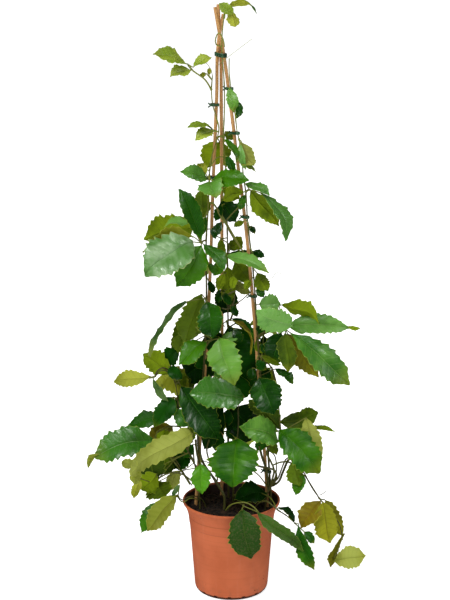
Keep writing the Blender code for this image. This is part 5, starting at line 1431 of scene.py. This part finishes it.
def make_soil():
    """The potting soil as a closed filling with a rough top."""
    edge = inner_radius(SOIL_LEVEL) - CLEARANCE
    top = [(edge * ring / SOIL_RINGS, SOIL_LEVEL) for ring in range(SOIL_RINGS + 1)]
    side = [(inner_radius(STEP_HEIGHT) - CLEARANCE, STEP_HEIGHT),
            (inner_radius(HEEL_HEIGHT) - CLEARANCE, HEEL_HEIGHT),
            (FOOT_RADIUS - POT_WALL - CLEARANCE, POT_WALL + CLEARANCE), (0.0, POT_WALL + CLEARANCE)]
    soil = turned_mesh("soil_fine", top + side, POT_SIDES)
    for vertex in soil.data.vertices:
        if vertex.co.z > SOIL_LEVEL - 0.0001:
            away = math.hypot(vertex.co.x, vertex.co.y)
            held = SOIL_EDGE_HELD + (1 - SOIL_EDGE_HELD) * min(1.0, SOIL_EDGE_RISE * (1 - away / edge))
            vertex.co.z += (soil_height(vertex.co.x, vertex.co.y) - SOIL_LEVEL) * held
    soil.data.shade_smooth()
    earth = soil_material()
    settle(soil, "soil", earth)
    make_crumbs(edge, earth)


def make_crumbs(edge, earth):
    """Crumbs that lie on the soil out to its edge, and specks of dirt on the front of the pot."""
    crumbs = bmesh.new()
    draw = random.Random(7)
    for _ in range(CRUMBS):
        radius = CRUMB_REACH * edge * math.sqrt(draw.random())
        angle = draw.uniform(0.0, math.tau)
        x = radius * math.cos(angle)
        y = radius * math.sin(angle)
        size = CRUMB_LEAST + CRUMB_SPREAD * draw.random() ** 3
        stretch = Matrix.Diagonal((draw.uniform(0.7, 1.5), draw.uniform(0.7, 1.3), 0.8, 1.0))
        turn = Matrix.Rotation(draw.uniform(0.0, math.tau), 4, "Z")
        where = Matrix.Translation((x, y, soil_height(x, y) + CRUMB_LIFT * size)) @ turn @ stretch
        made = bmesh.ops.create_icosphere(crumbs, subdivisions=1, radius=size, matrix=where)
        for vertex in made["verts"]:
            vertex.co += Vector([draw.uniform(-CRUMB_DENT, CRUMB_DENT) * size for _ in range(3)])
    for across, height, size in POT_SPECKS:
        share = (height - HEEL_HEIGHT) / (STEP_HEIGHT - HEEL_HEIGHT)
        outer = HEEL_RADIUS + (STEP_RADIUS - HEEL_RADIUS) * share
        where = Matrix.Translation((across, -outer * math.cos(math.asin(across / outer)), height))
        bmesh.ops.create_icosphere(crumbs, subdivisions=1, radius=size, matrix=where)
    settle(add_mesh("soil_crumbs", crumbs), None, earth)


def make_cane(name, material):
    """A bamboo cane with ringed joints, slightly uneven along its length, and dark flecks all over."""
    line = drawn_line(CANES[name], CANE_STEP)
    draw = random.Random(name)
    joints = []
    where = draw.uniform(*FIRST_JOINT)
    while where < CANE_LENGTH:
        joints.append(where)
        where += draw.uniform(*JOINT_SPACING)
    radii = []
    marks = []
    travelled = 0.0
    for number, point in enumerate(line):
        travelled += (point - line[max(number - 1, 0)]).length
        away = min((travelled - joint for joint in joints), key=abs)
        ring = (math.exp(-(away / RIDGE) ** 2)
                + SECOND_SHARE * math.exp(-((away - SECOND_RIDGE_PLACE) / SECOND_RIDGE) ** 2))
        bend = CANE_WOBBLE * math.sin(CANE_WOBBLES * travelled + 5 * joints[0])
        radii.append(CANE_RADIUS * (CANE_SLIM + RING_SWELL * ring + bend))
        marks.append((math.exp(-((away - MARK_PLACE) / RIDGE) ** 2), joints[0] * 9))
    cane = Gathering()
    add_tube(cane, line, radii, CANE_SIDES, (0.0, 0.0))
    piece = cane.to_object(name + "_fine", [material])
    scatter(piece.data, marks)
    piece.data.set_sharp_from_angle(angle=CANE_SHARP)
    settle(piece, name)


def scatter(mesh, marks):
    """Lays the marks over and over along a mesh's corners, which strews the strong ones as flecks."""
    spread = np.resize(np.array(marks), (len(mesh.loops), 2))
    mesh.uv_layers["vary"].data.foreach_set("uv", spread.ravel())


def belt_point(posts, angle, out):
    """A point on a loop pulled tight round the posts, on the side that faces an angle."""
    facing = Vector((math.cos(angle), math.sin(angle), 0.0))
    centre, radius = max(posts, key=lambda post: post[0].dot(facing) + post[1])
    return centre + facing * (radius + TIE_GAP + out)


def at_height(line, height):
    """Where a line passes a height."""
    for start, end in zip(line, line[1:]):
        if start.z <= height <= end.z:
            return start.lerp(end, (height - start.z) / (end.z - start.z))
    return line[-1]


def make_tie(name, material):
    """A soft plastic band with rounded edges round canes and stems, knotted in front."""
    up, half, held = TIES[name]
    lines = {key: drawn_line(CANES[key] if key in CANES else STEMS[key][2]) for key in held}
    height = place(0, up, lines[held[0]][-1].y / MM).z
    posts = []
    for key, line in lines.items():
        radius = CANE_RADIUS + CANE_NODE if key in CANES else STEMS[key][0]
        for rise in (-half, half):
            middle = at_height(line, height + rise)
            posts.append((Vector((middle.x, middle.y, 0.0)), radius))
    draw = random.Random(name)
    tilt = draw.uniform(-TIE_TILT, TIE_TILT)
    points = []
    faces = []
    loop = len(TIE_SECTION)
    for number in range(TIE_SIDES):
        for out, rise in TIE_SECTION:
            point = belt_point(posts, math.tau * number / TIE_SIDES, out * TIE_THICKNESS)
            point.z = height + rise * half + tilt * (point.x - posts[0][0].x)
            points.append(tuple(point))
        a = number * loop
        b = (number + 1) % TIE_SIDES * loop
        for k in range(loop):
            after = (k + 1) % loop
            faces.append((a + k, a + after, b + after, b + k))
    band = Gathering()
    flat = [(0.5, 0.5)] * len(points)
    band.add(points, faces, [0] * len(faces), leaf=flat, vein=flat, vary=flat)
    side = belt_point(posts, math.radians(draw.uniform(*KNOT_SIDE)), TIE_THICKNESS)
    side.z = height
    for heading in TAIL_HEADINGS:
        end = side + Vector(heading).normalized() * draw.uniform(*TAIL_LENGTH)
        tail = smooth_line([side + TAIL_START, side, end], TAIL_STEP)
        radii = [TAIL_RADIUS] * (len(tail) - 1) + [TAIL_END_RADIUS]
        add_tube(band, tail, radii, STALK_SIDES, (0.5, 0.5))
    settle(band.to_object(name + "_fine", [material]), name)


def make_floor():
    """A plain pale floor."""
    data = bpy.data.meshes.new("floor")
    corners = [(-FLOOR_REACH, -FLOOR_REACH, 0.0), (FLOOR_REACH, -FLOOR_REACH, 0.0),
               (FLOOR_REACH, FLOOR_REACH, 0.0), (-FLOOR_REACH, FLOOR_REACH, 0.0)]
    data.from_pydata(corners, [], [(0, 1, 2, 3)])
    floor = add_object("floor", data)
    material, tree, shader = blank_material("floor_white", 0.9, 0.1)
    shader.inputs["Base Color"].default_value = FLOOR_COLOUR
    shader.inputs["Emission Color"].default_value = WHITE
    seen = add_node(tree, "LightPath").outputs["Is Camera Ray"]
    glow = add_node(tree, "MapRange", {"Value": seen, "To Min": FLOOR_GLOW, "To Max": FLOOR_SEEN})
    tree.links.new(glow.outputs[0], shader.inputs["Emission Strength"])
    data.materials.append(material)
    floor.visible_glossy = False


def make_surround():
    """A white surround, weaker in its light and weaker still in reflections than it looks."""
    world = bpy.data.worlds.new("studio")
    world.use_nodes = True
    bpy.context.scene.world = world
    tree = world.node_tree
    for node in list(tree.nodes):
        tree.nodes.remove(node)
    rays = add_node(tree, "LightPath").outputs
    lit = add_node(tree, "MapRange", {"Value": rays["Is Glossy Ray"], "To Min": WORLD_LIGHT,
                                      "To Max": WORLD_SHEEN}).outputs[0]
    strength = add_node(tree, "MapRange", {"Value": rays["Is Camera Ray"], "To Min": lit,
                                           "To Max": WORLD_SEEN}).outputs[0]
    glow = add_node(tree, "Background", {"Color": WHITE, "Strength": strength})
    tree.links.new(glow.outputs[0], add_node(tree, "OutputWorld").inputs[0])
    view = bpy.context.scene.view_settings
    view.view_transform = "Standard"
    view.look = "None"


def facing_euler(heading):
    return heading.to_track_quat("-Z", "Y").to_euler()


def make_lights():
    """Soft boxes that light the plant from the front and the back or shine on its leaves, and an even
    light from above, which also keeps the far floor as pale as the near."""
    for name, where, size, power, kind in SOFT_BOXES:
        data = bpy.data.lights.new(name, "AREA")
        data.shape = "SQUARE"
        data.size = size
        data.energy = power
        light = add_object(name, data)
        light.location = where
        light.rotation_euler = facing_euler(LIGHT_TARGET - Vector(where))
        light.visible_diffuse = kind == "diffuse"
        light.visible_glossy = kind == "glossy"
    data = bpy.data.lights.new("overhead", "SUN")
    data.angle = OVERHEAD_SPREAD
    data.energy = OVERHEAD_POWER
    light = add_object("overhead", data)
    light.rotation_euler = facing_euler(OVERHEAD_HEADING)
    light.visible_glossy = False


def make_camera():
    """A camera where the drawing's eye is, looking a little down."""
    data = bpy.data.cameras.new("camera")
    data.sensor_width = SENSOR_WIDTH
    data.lens = FOCAL / IMAGE_HEIGHT * data.sensor_width
    camera = add_object("camera", data)
    camera.matrix_world = (Matrix.Translation(EYE) @ Matrix.Rotation(-EYE_TURN, 4, "Z")
                           @ Matrix.Rotation(math.pi / 2 - EYE_PITCH, 4, "X"))
    bpy.context.scene.camera = camera


def main():
    """Builds every piece, then the stage, lights and camera."""
    leaf_materials = {f"{tint}_{face}": leaf_material(tint, face)
                      for tint in LEAF_TINTS for face in ("top", "under")}
    bark = stem_material()
    for name in STEMS:
        make_leafy_stem(name, leaf_materials, bark)
    make_pot()
    make_soil()
    bamboo = bamboo_material()
    for name in CANES:
        make_cane(name, bamboo)
    band = tie_material()
    for name in TIES:
        make_tie(name, band)
    make_floor()
    make_surround()
    make_lights()
    make_camera()


main()
